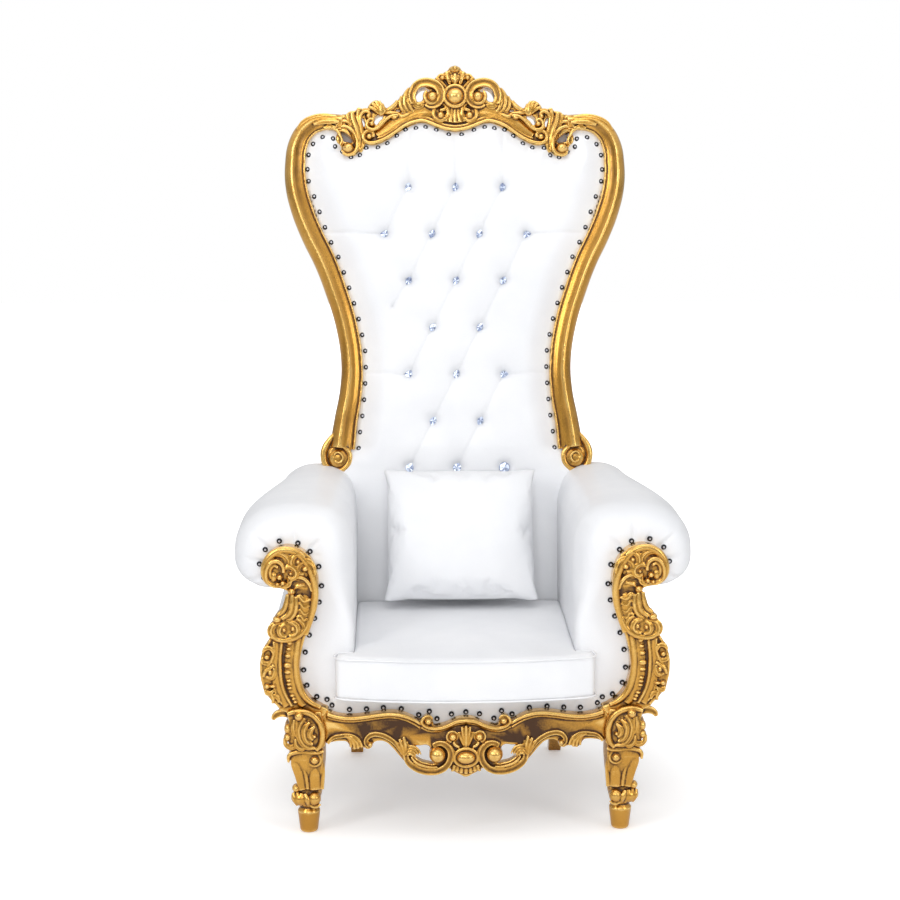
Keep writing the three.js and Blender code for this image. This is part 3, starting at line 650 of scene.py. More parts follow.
# %% The big scroll beside the cartouche
scroll = back_lines(COVE, [
    ([(108, 1733), (113, 1748), (110, 1766), (100, 1780), (84, 1787), (64, 1786), (46, 1777), (37, 1762),
      (38, 1745), (48, 1732), (64, 1728), (77, 1733)], (9, 10.5, 12, 12, 10, 8), 8),
])
scroll_lines = back_lines(ROUND, [
    ([(46, 1741), (56, 1734), (69, 1735), (78, 1744), (80, 1756), (74, 1766)], (3, 5, 5.5, 3), 10),
])
scroll_eye = [dome(60, slope(1750), 15, 15, 24, 2), cups(97, slope(1738), (7, 12, 17), 200, 350, 3.2, 5)]
shoulder = [
    back_lines(RIDGE, [
        ([(110, 1712), (119, 1727), (122, 1746), (116, 1765), (103, 1781), (88, 1791)], (4, 7, 8, 5), 6),
        ([(116, 1707), (128, 1720), (133, 1740), (129, 1758), (119, 1773)], (4, 6.5, 7.5, 5), 4),
        ([(124, 1705), (138, 1718), (144, 1735), (140, 1753)], (4, 6, 6.5, 4), 2),
        ([(192, 1711), (176, 1717), (162, 1726), (150, 1741)], (4, 6.5, 7, 5), 1),
        ([(138, 1704), (152, 1708), (170, 1709), (190, 1710)], (3, 5, 5.5, 4), 2),
        ([(112, 1712), (128, 1702), (142, 1700), (150, 1706)], (3, 5, 5.5, 4), 5),
    ]),
    leaf((196, slope(1702)), on_back([(185, 1724), (191, 1733), (200, 1740), (210, 1740), (219, 1734),
                                      (226, 1724)]), 0.10, 6.2, 4),
]

# %% The leaf and the scroll at the corner
corner = [
    back_lines(RIDGE, [
        ([(250, 1606), (243, 1626), (245, 1652), (250, 1678), (255, 1698), (254, 1716)], (4, 8, 8, 5), 4),
        ([(252, 1612), (253, 1640), (260, 1668), (268, 1690), (271, 1710)], (3, 8, 8.5, 5.5), 7),
        ([(262, 1630), (270, 1662), (279, 1688), (284, 1706)], (3, 7, 8, 6), 4),
        ([(284, 1690), (294, 1697), (304, 1697)], (5, 7, 6), 3),
    ]),
    back_lines(ROUND, [
        ([(246, 1660), (249, 1682), (249, 1699), (241, 1710), (230, 1711), (225, 1703), (230, 1697)],
         (3, 4.5, 5, 5, 4), 6),
        ([(224, 1716), (234, 1717), (246, 1716)], (4, 5, 4), 2),
        ([(300, 1673), (286, 1672), (272, 1663), (261, 1647), (257, 1628), (260, 1612), (271, 1602),
          (286, 1600), (296, 1607)], (4, 5, 5.5, 6, 5, 4), 7),
        ([(314, 1672), (306, 1683), (292, 1687), (278, 1682), (268, 1670)], (3.5, 4.5, 4.5, 3), 6),
        ([(322, 1669), (310, 1662), (303, 1650), (298, 1636), (303, 1625)], (4, 4.5, 4, 3), 6),
    ]),
    dome(281, slope(1617), 15, 14, 20, 2),
    dome(228, slope(1700), 7, 7, 12, 2),
    dome(307, slope(1641), 8, 14, 8, -2),
]

# %% The middle: cartouche, shell, pendant
middle = [
    ring(0, slope(1752), 28, 27, 5.5, 9),
    dome(0, slope(1752), 24, 23, 24, 4, 32),
    dome(0, slope(1752), 34, 33, 9, 0, 32),
    leaf((0, slope(1784)), on_back([(9, 1806), (0, 1810), (-9, 1806)]), 0, 6.5, 9),
    dome(0, slope(1822), 14, 10, 12, 4), dome(0, slope(1824), 6, 8, 16, 5),
    shell(0, slope(1800), 4, 24, 45, 135, 5, 5.0, 6),
    shell(0, slope(1768), 42, 86, 252, 288, 5, 6.5, 3),
]
beside = [
    back_lines(RIDGE, [
        ([(13, 1783), (17, 1797), (21, 1810), (24, 1816)], (4, 7, 7, 5), 6),
        ([(24, 1776), (34, 1785), (44, 1795), (50, 1801)], (4, 6, 6, 4), 6),
        ([(32, 1736), (22, 1724), (18, 1706), (22, 1692)], (4, 6, 6, 4), 4),
        ([(40, 1734), (49, 1727), (56, 1714), (55, 1700), (46, 1691), (34, 1689), (27, 1695)], (4, 6, 6, 5),
         5),
        ([(20, 1722), (30, 1718), (40, 1716)], (4, 5, 4), 4),
    ]),
    volute(34, slope(1799), -60, 200, 11, 9, 3.4, 6),
    dome(33, slope(1799), 7, 7, 13, 3),
    dome(38, slope(1703), 10, 10, 13, 2),
]
right_side = [band, swell, *volute_eyes, scroll, scroll_lines, *scroll_eye, *shoulder, *corner, *beside]
crest_mesh = skinned([crest_plank, *mirrored(right_side), *right_side, *middle], 1.5, 2, 0.4)
placed("crest_rail_carved", crest_mesh, LEANING, ["crest_rail"], GOLD)

# %% [markdown]
# ## The stiles
#
# Each stile is one long moulding bent in a serpentine: a round outer side, a soft ridge, a broad hollow face
# turned towards the leather, a dark groove and a thin bead. At its foot it rolls up into a scroll over the
# arm, and a low leaf lies along its shoulder. The section changes width on the way, so it is swept along the
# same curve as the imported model's, with the radius as the half width.

# %% Serpentine and scroll
stile_line = on_back([(300, 838), (291, 905), (277, 985), (274, 1060), (288, 1158), (316, 1251),
                      (345, 1327), (375, 1388), (402, 1455), (418, 1520), (420, 1580), (412, 1630),
                      (390, 1666), (356, 1684), (326, 1686), (296, 1685)])
stile_widths = [34, 31, 29.5, 28.5, 28.5, 29, 29.5, 29.5, 29.3, 28.5, 27, 25.5, 24, 22.5, 21, 20]
STILE = section("stile", [(1, -1.62), (1, -0.05), (0.96, 0.14), (0.88, 0.32), (0.76, 0.5), (0.6, 0.66),
                          (0.44, 0.77), (0.32, 0.83), (0.22, 0.84), (0.12, 0.76), (0, 0.62), (-0.14, 0.5),
                          (-0.3, 0.4), (-0.46, 0.33), (-0.6, 0.28), (-0.7, 0.2), (-0.75, 0.13),
                          (-0.8, 0.22), (-0.88, 0.32), (-0.95, 0.24), (-1, 0.05), (-1, -1.62)])
stile_bar = strokes(STILE, [(stile_line, stile_widths, 0)], detail=8)
for v in stile_bar.verts:
    v.co.z = max(v.co.z, -FRAME_THICK)

foot = slope(812)
stile_scroll = [
    plank([(319 + 38 * math.cos(a), foot + 38 * math.sin(a)) for a in np.linspace(0, 6.283, 14,
                                                                                  endpoint=False)],
          FRAME_THICK + 10, edge=5),
    dome(311, foot, 25, 25, 16, 8, 28),
    strokes(ROUND, [
        ([(313, foot + 70), (330, foot + 52), (345, foot + 28), (349, foot + 2), (338, foot - 24),
          (314, foot - 33), (290, foot - 22), (281, foot), (288, foot + 22), (308, foot + 30),
          (328, foot + 20), (334, foot + 2)],
         (5, 9, 8.5, 8, 7.5, 7, 5), 8),
        ([(322, foot + 8), (314, foot + 15), (302, foot + 10), (299, foot - 3), (308, foot - 12),
          (319, foot - 8)],
         (1.5, 2.5, 2.5, 1.5), 23),
    ]),
]
bmesh.ops.translate(stile_scroll[0], verts=stile_scroll[0].verts, vec=(0, 0, 10))
shoulder_leaf = [
    frond(on_back([(414, 1662), (398, 1680), (372, 1692), (344, 1697), (312, 1698)]), 10, 15),
    frond(on_back([(372, 1676), (352, 1683), (328, 1685), (304, 1682)]), 8, 19),
    frond(on_back([(346, 1668), (330, 1672), (312, 1670)]), 6, 12, 2),
]
stile_mesh = skinned([stile_bar, *stile_scroll, *shoulder_leaf], 1.7, 2, 0.27)
placed_pair("stile_carved", stile_mesh, LEANING, "back_stile", GOLD)

# %% [markdown]
# ## The arm fronts
#
# Each arm ends in a scrolled board. Its head is a C-scroll with a hollow eye under three folded leaves, beside
# a small cave; ribs like ruffles run down from the cave to a collar of shell lobes; and the shin below has a
# vine of flowers on its outer edge, two grooves, a row of little leaves and a plain inner band.

# %% The board
arm_outline = [(430, 299.6), (444, 314), (458, 329), (470, 348), (478, 372), (481, 398), (479, 424),
               (471, 450), (457, 474), (455, 486), (459, 498), (450, 514), (441, 531), (428, 541),
               (415, 556), (409, 572), (414, 586), (428, 592), (446, 595), (462, 605), (472, 622),
               (474, 640), (468, 660), (450, 681), (430, 691), (408, 693), (386, 687), (364, 669),
               (349, 643), (342, 612), (343, 586), (349, 552), (358, 522), (370, 488), (380, 455),
               (386, 425), (387, 394), (383, 366), (372, 341), (353, 320), (336, 309), (322, 299.6)]
arm_plank = plank(arm_outline, ARM_FRONT_THICK, edge=4)

# %% Head, ribs and collar
head = [
    strokes(RIDGE, [
        ([(374, 484), (362, 520), (352, 560), (351, 600), (358, 632), (374, 660), (394, 679), (416, 685),
          (440, 679), (458, 662), (466, 640), (462, 618), (449, 605), (432, 601)], (7, 9, 9, 9, 9.5, 9, 7),
         3),
    ]),
    strokes(ROUND, [
        ([(428, 601), (446, 601), (458, 612), (462, 632), (456, 650), (444, 659), (431, 657), (423, 646),
          (422, 632)], (3, 4.5, 5.5, 5.5, 4), 7),
        ([(434, 644), (443, 649), (450, 644), (453, 632), (451, 620)], (3, 4.5, 4, 3), 6),
    ]),
    dome(402, 648, 50, 38, 7), dome(445, 630, 22, 30, 6),
    frond([(452, 667), (440, 677), (424, 676), (412, 665), (408, 650)], 9, 7),
    frond([(372, 668), (384, 675), (398, 670), (404, 657), (399, 646), (388, 646)], 8, 8),
    frond([(350, 626), (353, 645), (365, 657), (381, 654), (390, 642), (386, 631), (375, 628)], 8.5, 7),
    frond([(420, 641), (408, 647), (397, 641), (393, 629), (401, 619), (412, 622)], 7.5, 9),
    frond([(412, 621), (408, 611), (412, 602), (422, 597)], 6, 6, 2),
    dome(388, 658, 6, 6, 13, 2), dome(372, 641, 8, 7, 13, 2), dome(405, 631, 5, 5, 14, 3),
    dome(445, 622, 9, 13, 8, 2), dome(431, 622, 7.5, 7.5, 14, 4), dome(424, 608, 6.5, 6.5, 12, 3),
    dome(436, 606, 5, 5, 10, 5), dome(404, 587, 10, 9, 12), dome(404, 587, 5, 5, 15),
    strokes(ROUND, [([(408, 608), (394, 620), (378, 619), (364, 606), (357, 588)], (3, 4.5, 5, 3.5), 5)]),
]
cave = leaf((398, 592), [(384, 606), (374, 602), (366, 592)], -0.1, 4.5, -2)
ruffles = [dome(376, 545, 20, 34, 7)] + [
    frond([(396 - i, 571 - 15 * i), (386 - i, 574 - 15 * i), (375, 564 - 15 * i), (361 + 2.5 * i,
                                                                                   568 - 15 * i)], 7.5, 6)
    for i in range(4)]
curl_bands = strokes(RIDGE, [
    ([(413, 580), (416, 560), (423, 542), (436, 530)], (5, 7, 7, 6), 3),
    ([(403, 578), (404, 558), (410, 537), (427, 523)], (5, 7.5, 7.5, 6), 5),
    ([(394, 575), (394, 552), (400, 532), (414, 517)], (4, 6.5, 6.5, 5), 5),
])
collar = [
    dome(415, 500, 42, 28, 8), dome(438, 521, 11, 9, 15),
    frond([(428, 513), (444, 509), (453, 495), (447, 481), (432, 476)], 9, 7),
    frond([(421, 512), (431, 500), (430, 487), (418, 479)], 7.5, 9),
    frond([(412, 516), (399, 511), (392, 498), (398, 486), (411, 482)], 8, 9),
    frond([(394, 523), (381, 516), (374, 503), (381, 490), (394, 483)], 7.5, 7),
    dome(422, 497, 6, 7, 15), dome(402, 499, 6, 7, 14),
    strokes(RIDGE, [([(452, 482), (434, 473), (408, 474), (388, 483), (373, 499), (364, 520)],
                     (5, 7, 7.5, 7, 5), 5)]),
]

# %% Shin
vine = [
    strokes(ROUND, [
        ([(455, 472), (466, 452), (475, 424), (476, 397), (472, 370), (461, 346), (446, 324), (434, 309)],
         (3, 4, 4.5, 4.5, 3), 0),
        ([(447, 466), (447, 444), (453, 424), (462, 408), (469, 400)], (2, 3.5, 4, 3), 3),
        ([(448, 412), (458, 404), (468, 396), (472, 384)], (3, 4.5, 4.5, 3), 4),
        ([(449, 372), (446, 352), (440, 336), (430, 318)], (2, 3, 3, 2), 2),
        ([(466, 352), (456, 344), (450, 332), (452, 320)], (2, 4, 4, 3), 3),
    ]),
    dome(464, 400, 14, 62, 5), dome(463, 432, 7, 7, 14), dome(463, 362, 7, 7, 14), dome(451, 362, 9, 5, 11),
    frond([(448, 440), (454, 452), (466, 452), (474, 442)], 5.5, 6, 2),
    frond([(475, 430), (472, 420), (462, 417), (452, 420)], 5.5, 6, 2),
    frond([(447, 404), (449, 390), (456, 382), (466, 384)], 7.5, 6),
    frond([(470, 352), (464, 344), (455, 346), (449, 352)], 5, 6, 2),
    frond([(456, 330), (448, 338), (440, 334), (436, 322)], 5.5, 5, 2), dome(456, 395, 6, 8, 12),
]
shin = [
    strokes(SWELL, [
        ([(441, 476), (444, 440), (446, 405), (442, 370), (434, 342), (419, 312)], (9, 12, 12, 11, 8), 0),
        ([(404, 478), (408, 440), (410, 400), (406, 365), (396, 335), (380, 312)], (10, 14, 14, 13, 8), 0),
    ]),
    strokes(RIDGE, [
        ([(427, 474), (432, 440), (433, 405), (430, 370), (421, 340), (406, 312)], (3, 4.5, 4.5, 4, 3),
         1.5),
        ([(389, 476), (395, 440), (396, 402), (391, 368), (380, 340), (362, 320), (340, 309)],
         (6, 8.5, 8.5, 8.5, 7, 5), 0.5),
    ]),
]
bumps = []
for y, wide, tall in ((465, 7, 6), (451, 7, 5), (434, 8, 6), (411, 10, 8), (395, 9, 5), (375, 7, 4),
                      (366, 7, 4), (357, 7, 4), (339, 7, 4), (331, 6, 4), (323, 6, 4)):
    x = float(np.interp(y, [320, 340, 360, 400, 440, 470], [397, 406, 412, 416, 414, 409]))
    bumps.append(dome(x, y, wide, tall, 9.5))
arm_parts = [arm_plank, *head, cave, *ruffles, curl_bands, *collar, *vine, *shin, *bumps]
arm_mesh = skinned(arm_parts, 1.4, 2, 0.45)
placed_pair("arm_front_carved", arm_mesh, FRONT, "arm_front", GOLD)

# %% [markdown]
# ## The front rail
#
# The rail bows forward in the middle. It is carved flat and then bent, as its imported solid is. Its top edge is
# a bead with a fine line under it that curls over a small volute; its lower edge is two arches, a bunch of
# leaves and a pierced C-scroll with a ball, either side of an oval cartouche with a plume and a fringe.

# %% Outline
RAIL_THICK = 26
RAIL_BOW = 24
RAIL_LIFT = 0.27
rail_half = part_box("front_rail")[1].x / MM
rail_top = [(0, 281), (22, 278), (42, 268), (60, 263), (74, 262), (78, 274), (87, 285), (97, 283),
            (106, 274), (122, 281), (146, 292), (170, 296), (206, 294), (241, 289), (275, 287), (305, 291),
            (rail_half, 297)]
rail_foot = [(rail_half, 221), (312, 224), (292, 226), (279, 224), (271, 212), (260, 206), (250, 210),
             (240, 210), (230, 206), (221, 210), (215, 222), (204, 226), (188, 223), (172, 209), (158, 192),
             (146, 178), (128, 160), (108, 149), (84, 146), (62, 150), (46, 159), (36, 156), (26, 149),
             (14, 143), (6, 138), (0, 137)]
rail_hole = [(118, 212), (106, 214), (92, 215), (84, 209), (86, 192), (82, 178), (74, 172), (90, 172),
             (108, 178), (119, 190), (113, 200)]
rail_plank = plank(whole([*rail_top, *rail_foot]), RAIL_THICK, [rail_hole, flipped(rail_hole)], edge=3)

# %% Mouldings and scrolls
end = rail_half - 3
rail_bead = strokes(ROUND, [
    ([(end, 292), (305, 286), (275, 282), (241, 284), (206, 289), (172, 291), (146, 287), (122, 277),
      (106, 267)],
     (5, 5, 5, 5, 3), 2),
    ([(end, 283), (305, 278), (275, 274), (241, 276), (206, 281), (172, 283), (146, 278), (122, 267),
      (108, 258)],
     (2, 2, 2), 1),
    ([(0, 275), (22, 272), (42, 263), (62, 257), (80, 257), (96, 263), (103, 273), (97, 283), (86, 286),
      (78, 279)],
     (5, 5, 5, 4.5, 3.5, 3), 3),
    ([(0, 268), (24, 264), (44, 255), (66, 249), (88, 250), (104, 258)], (2, 2, 1.5), 1),
])
arches = strokes(COVE, [
    ([(end, 222), (312, 235), (292, 240), (272, 240), (258, 234), (249, 224), (245, 214)], (4, 5, 5.5, 5.5,
                                                                                            4), 3),
    ([(227, 213), (234, 222), (231, 235), (219, 243), (202, 243), (184, 236), (168, 224), (156, 208),
      (146, 192)],
     (4, 5.5, 6, 6, 5, 4), 3),
])
arch_leaf = leaf((284, 240), [(270, 212), (261, 208), (252, 209), (243, 212)], -0.22, 5.0, 3)
bunch = leaf((144, 184), [(165, 226), (156, 233), (146, 238), (138, 226)], 0.06, 5.5, 4)
clam = cups(130, 190, (7, 13, 19, 25), 20, 170, 3.4, 4)
big_scroll = strokes(COVE, [
    ([(142, 196), (136, 178), (122, 165), (103, 156), (82, 153), (62, 156), (46, 167), (37, 184), (37, 203),
      (47, 217), (63, 222), (78, 216)], (6, 8, 8.5, 8, 7.5, 7, 5), 6),
])
scroll_edge = strokes(ROUND, [
    ([(128, 190), (118, 177), (102, 169), (84, 165), (68, 165)], (2.5, 3.5, 3, 2), 9),
])
small = [
    dome(224, 221, 6.5, 6.5, 13, 3), dome(88, 275, 9, 9, 15, 2), dome(67, 194, 20, 20, 26, 2, 28),
    dome(31, 237, 10, 10, 15, 4), volute(32, 237, -80, 240, 13, 12, 3.2, 5),
    strokes(ROUND, [([(30, 224), (24, 216), (16, 212)], (3, 4, 3), 6),
                    ([(52, 226), (42, 218), (32, 206), (27, 192)], (3, 4.5, 4.5, 3), 5)]),
]

# %% Cartouche, plume and fringe
rail_middle = [
    ring(0, 187, 27, 21, 4.6, 7), dome(0, 187, 33, 27, 8, 0, 28), dome(0, 187, 23, 16, 19, 4, 32),
    leaf((0, 206), [(18, 248), (10, 261), (0, 264), (-10, 261), (-18, 248)], 0.0, 5.0, 4),
    strokes(RIDGE, [(((9 * i, 168), (10.5 * i, 156), (11 * i, 146 + 2.2 * abs(i) ** 1.5)), (4, 5, 4), 4)
                    for i in (-3, -2, -1, 0, 1, 2, 3)], detail=3),
]
rail_right = [rail_bead, arches, arch_leaf, bunch, clam, big_scroll, scroll_edge, *small]
rail_mesh = skinned([rail_plank, *mirrored(rail_right), *rail_right, *rail_middle], 1.4, 2, 0.38)


def bowed(points):
    """The rail's bend: forward in the middle, and a little upwards."""
    bow = RAIL_BOW * (1 - (points[:, 0] / rail_half) ** 2)
    return points + np.stack([0 * bow, RAIL_LIFT * bow, bow], 1)


placed("front_rail_carved", moved(rail_mesh, bowed), FRONT, ["front_rail"], GOLD)

# %% [markdown]
# ## The legs
#
# A front leg is a carved block on a tapering shin, over a scrolled ankle and a turned foot. Its core starts as
# a stout bar that is remeshed finely and then squeezed, height by height, to the reach that it has outwards,
# inwards, forwards and back. The carving is laid on the squeezed core. The back legs and the plain rails are
# seen little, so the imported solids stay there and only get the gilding.

# %% The core of a leg
LEG_X = 375
LEG_Y = FACE_Y + 27 * MM
stations = np.array([[0, 19, 19, 19, 19], [4, 21.5, 21.5, 21.5, 21.5], [50, 27, 27, 27, 27],
                     [54, 25, 25, 25, 25],
                     [61, 20, 20, 20, 20], [68, 23, 26, 24, 24], [96, 22, 35, 28, 30], [114, 19, 37, 24,
                                                                                        30],
                     [150, 30, 43, 31, 34], [184, 42, 46, 37, 36], [204, 42, 46, 38, 38], [212, 40, 46, 38,
                                                                                           38],
                     [228, 46, 46, 40, 38], [252, 38, 46, 38, 38], [LEG_TOP, 50, 42, 38, 38]])


def squeezed(points):
    """From a round bar 40 mm in radius to the leg: round at the foot and squarer above the ankle."""
    x, forward, up = points[:, 0], points[:, 2], points[:, 1]
    reach = [np.interp(up, stations[:, 0], stations[:, k]) for k in (1, 2, 3, 4)]
    radius = np.hypot(x, forward) + 1e-9
    square = 0.55 * np.interp(up, [60, 110], [0, 1])
    blunt = 1 + square * (1 / np.maximum(np.abs(x), np.abs(forward)) * radius - 1)
    wide = np.where(x > 0, reach[0], reach[1]) * x / 40 * blunt
    deep = np.where(forward > 0, reach[2], reach[3]) * forward / 40 * blunt
    centre = np.interp(up, [60, 110], [-4, 0])
    return np.stack([wide + centre, up, deep], 1)


bar = bmesh.new()
place = Matrix.Translation((0, LEG_TOP / 2, 0)) @ Matrix.Rotation(math.pi / 2, 4, "X")
bmesh.ops.create_cone(bar, cap_ends=True, segments=40, radius1=40, radius2=40, depth=LEG_TOP, matrix=place)
core_mesh = moved(skinned([bar], 2.4, 1), squeezed)
core = bmesh.new()
core.from_mesh(core_mesh)

# %% Carving on the leg
leg_lines = strokes(RIDGE, [
    ([(42, 296), (26, 301), (8, 301), (-12, 295), (-28, 281), (-37, 262), (-39, 240), (-34, 220),
      (-24, 208)],
     (5, 6.5, 7, 7, 7.5, 7, 5), 38),
    ([(22, 288), (20, 274), (22, 258), (30, 244)], (3, 5, 5, 3), 38),
    ([(8, 284), (0, 276), (-10, 270), (-20, 268)], (3, 4, 4, 3), 38),
    ([(41, 178), (40, 194), (28, 201), (10, 203), (-12, 201), (-28, 201), (-42, 205)], (3, 5, 5, 5, 5, 4),
     35),
    ([(3, 196), (7, 172), (1, 142), (-3, 110)], (3, 5, 4.5, 4), 29),
])
leg_swells = strokes(SWELL, [
    ([(-17, 172), (-18, 146), (-19, 108)], (12, 14, 12), 27),
    ([(-37, 176), (-38, 150), (-36, 108)], (5, 6, 5), 24),
    ([(24, 198), (22, 172), (15, 140), (10, 108)], (10, 15, 12, 9), 28),
])
leg_parts = [
    dome(15, 291, 11, 11, 14, 38),
    dome(2, 250, 44, 48, 9, 32), dome(42, 258, 9, 13, 14, 26), dome(43, 238, 9, 10, 14, 28),
    frond([(2, 287), (13, 270), (15, 249), (9, 230), (-5, 216), (-22, 213)], 8, 42),
    frond([(-10, 278), (1, 263), (2, 245), (-4, 231), (-17, 223)], 7.5, 44),
    frond([(-22, 268), (-12, 256), (-11, 243), (-17, 234)], 6.5, 45),
    frond([(26, 282), (28, 266), (26, 250), (20, 238)], 6, 40), dome(-21, 243, 5, 5, 12, 38),
    frond([(50, 238), (46, 222), (34, 215), (23, 222), (22, 232)], 7, 39),
    frond([(24, 236), (20, 220), (8, 213), (-2, 220)], 7, 41), frond([(-34, 238), (-39, 222), (-28, 211)],
                                                                     6.5, 38),
    dome(-20, 183, 10, 10, 13, 33), ring(-20, 183, 14.5, 14.5, 3.4, 32),
    dome(-18, 86, 16, 17, 18, 24), strokes(ROUND,
                                           [([(-4, 92), (-8, 74), (-22, 68), (-34, 74)], (2, 4, 4, 2),
                                             32)]),
    dome(24, 110, 11, 10, 16, 16),
]
def ball(centre, reach, around, rings, turn=Matrix.Identity(4)):
    """A whole ball with its own centre and half sizes, turned before it is put in its place."""
    part = bmesh.new()
    place = Matrix.Translation(centre) @ turn @ Matrix.Diagonal((*reach, 1))
    bmesh.ops.create_uvsphere(part, u_segments=around, v_segments=rings, radius=1, matrix=place)
    return part


barrel = ball((10, 85, 10), (28, 20, 28), 28, 16)
flutes = strokes(RIDGE, [
    ([(3 + 9 * i, 70, 29 - 2 * i), (8 + 10 * i, 86, 34 - 3 * i), (13 + 9 * i, 100, 28 - 3 * i)], (5, 7, 5),
     -1)
    for i in (-1, 0, 1, 2)])
foot_ring = ball((-4, 51, 0), (27, 27, 5), 28, 12, Matrix.Rotation(math.pi / 2, 4, "X"))
hook = strokes(COVE, [([(30, 286), (48, 292), (64, 291), (74, 284), (77, 276)], (9, 9, 8, 4), 16)])
side_scroll = ball((40, 250, 0), (12, 26, 24), 20, 12)
leg_mesh = skinned([core, leg_lines, leg_swells, *leg_parts, barrel, flutes, foot_ring, hook, side_scroll],
                   1.5, 2, 0.5)
LEG = Matrix.Translation((LEG_X * MM, LEG_Y, 0)) @ upright
placed_pair("front_leg_carved", leg_mesh, LEG, "front_leg", GOLD)

for node in ("rear_leg_right", "rear_leg_left", "side_rail_right", "side_rail_left", "back_rail"):
    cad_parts[node].data.materials.clear()
    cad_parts[node].data.materials.append(GOLD)

# %% [markdown]
# ## The tufted back
#
# The back is foam under leather, drawn in by rows of buttons. Between two buttons the leather folds along a
# line, and the foam swells up on both sides. The surface is one fine grid whose height is a formula: a broad
# crown, a soft pit at each button, a crease along each fold, and a roll down to the frame all round.

# %% Buttons and folds
PITCH_X = 124
PITCH_Z = 121.3
TOP_ROW = 1514
ROWS = [3, 4, 3, 2, 3, 2, 3]
buttons = [[((i - (n - 1) / 2) * PITCH_X, slope(TOP_ROW - row * PITCH_Z)) for i in range(n)]
           for row, n in enumerate(ROWS)]
folds = []
for row, below in zip(buttons, buttons[1:]):
    for x, y in row:
        folds += [((x, y), other) for other in below if abs(other[0] - (x - PITCH_X / 2)) < 1]
folds += [((x, y), (x + 2, y + 190)) for x, y in buttons[0]]
for row in (buttons[1], buttons[4]):
    folds += [(row[0], (row[0][0] - 180, row[0][1] + 6)), (row[-1], (row[-1][0] + 180, row[-1][1] + 6))]
folds.append((buttons[2][0], (buttons[2][0][0] - 44, buttons[2][0][1] - 70)))
places = np.array([place for row in buttons for place in row])


def along(points, start, end):
    """Distance of points from a segment, and how far along it they are."""
    start, end = np.array(start), np.array(end)
    share = np.clip(((points - start) @ (end - start)) / ((end - start) @ (end - start)), 0, 1)
    return np.hypot(*(points - start - share[:, None] * (end - start)).T), share


PAD_EDGE = 8
PAD_RISE = 36


def pad_height(points):
    """How far the back stands out of the board, at (x, y) places on it, without the roll at its edge."""
    x, y = points[:, 0], points[:, 1]
    reach = 245 + np.abs(y - slope(1060)) * (400 - 245) / (slope(1560) - slope(1060))
    crown = PAD_EDGE + (PAD_RISE - PAD_EDGE) * (1 - np.minimum(1, np.abs(x) / reach) ** 3)
    apart = np.min([np.hypot(x - bx, y - by) for bx, by in places], axis=0)
    pits = -17 * np.exp(-(apart / 15) ** 2) - 7 * np.exp(-(apart / 42) ** 2)
    creases = np.zeros(len(x))
    for start, end in folds:
        off, share = along(points, start, end)
        deep = 0.45 + 0.55 * (2 * share - 1) ** 2
        creases = np.minimum(creases, -deep * (7 * np.exp(-(off / 2.7) ** 2) + 4 * np.exp(-(off / 15) ** 2)))
    return crown + pits + creases


print(len(places), "buttons and", len(folds), "folds")

# %% The padded back
stile_inside = [(296, 1633), (307, 1658), (332, 1670), (363, 1661), (387, 1633), (397, 1597), (391, 1529),
                (375, 1483), (342, 1388), (315, 1334), (284, 1246), (261, 1168), (246, 1098), (244, 1040),
                (248, 973), (253, 927), (260, 880), (261, 812)]
PAD_FOOT = LEG_TOP + 8
tuck = 7
pad_half = on_back([*crest_foot[::-1], (258, 1606), (272, 1600), (288, 1600), (300, 1612)]
                   + stile_inside[:-1] + [(266, 850), (284, 838), (300, 812), (302, 770), (290, 752),
                                          (268, 740), (268, PAD_FOOT), (0, PAD_FOOT)])
pad_outline = whole(pad_half)


def rail_of(points, step=4.0):
    """Even points along a closed line."""
    loop = np.array(points + points[:1])
    lengths = np.hypot(*np.diff(loop, axis=0).T)
    at = np.concatenate([[0], np.cumsum(lengths)])
    spots = np.arange(0, at[-1], step)
    return np.stack([np.interp(spots, at, loop[:, k]) for k in (0, 1)], 1)


def inside(points, outline):
    """Whether points lie inside a closed outline, by counting the edges to their right."""
    loop = np.array(outline)
    odd = np.zeros(len(points), bool)
    for (x1, y1), (x2, y2) in zip(loop, np.roll(loop, -1, axis=0)):
        crosses = (y1 > points[:, 1]) != (y2 > points[:, 1])
        where = x1 + (points[:, 1] - y1) * (x2 - x1) / (y2 - y1 + 1e-12)
        odd ^= crosses & (points[:, 0] < where)
    return odd


edge_points = rail_of(pad_outline)
edge_tree = kdtree.KDTree(len(edge_points))
for i, point in enumerate(edge_points):
    edge_tree.insert((*point, 0), i)
edge_tree.balance()


def edge_distance(points):
    """Distance inwards from the upholstery's outline, negative outside it."""
    off = np.array([edge_tree.find((x, y, 0))[2] for x, y in points])
    return np.where(inside(points, pad_outline), off, -off)


def eased(heights, off, y):
    """Lowers the pad to its edge, where nails draw it down on to the frame, but not between the arms."""
    free = np.clip((slope(840) - y) / 60, 0, 1)
    near = np.clip((off + tuck) / (tuck + 75), 0, 1)
    drawn = NAILED + (heights - NAILED) * np.sin(near * math.pi / 2) ** 1.1
    return drawn + (heights - 4 - drawn) * free


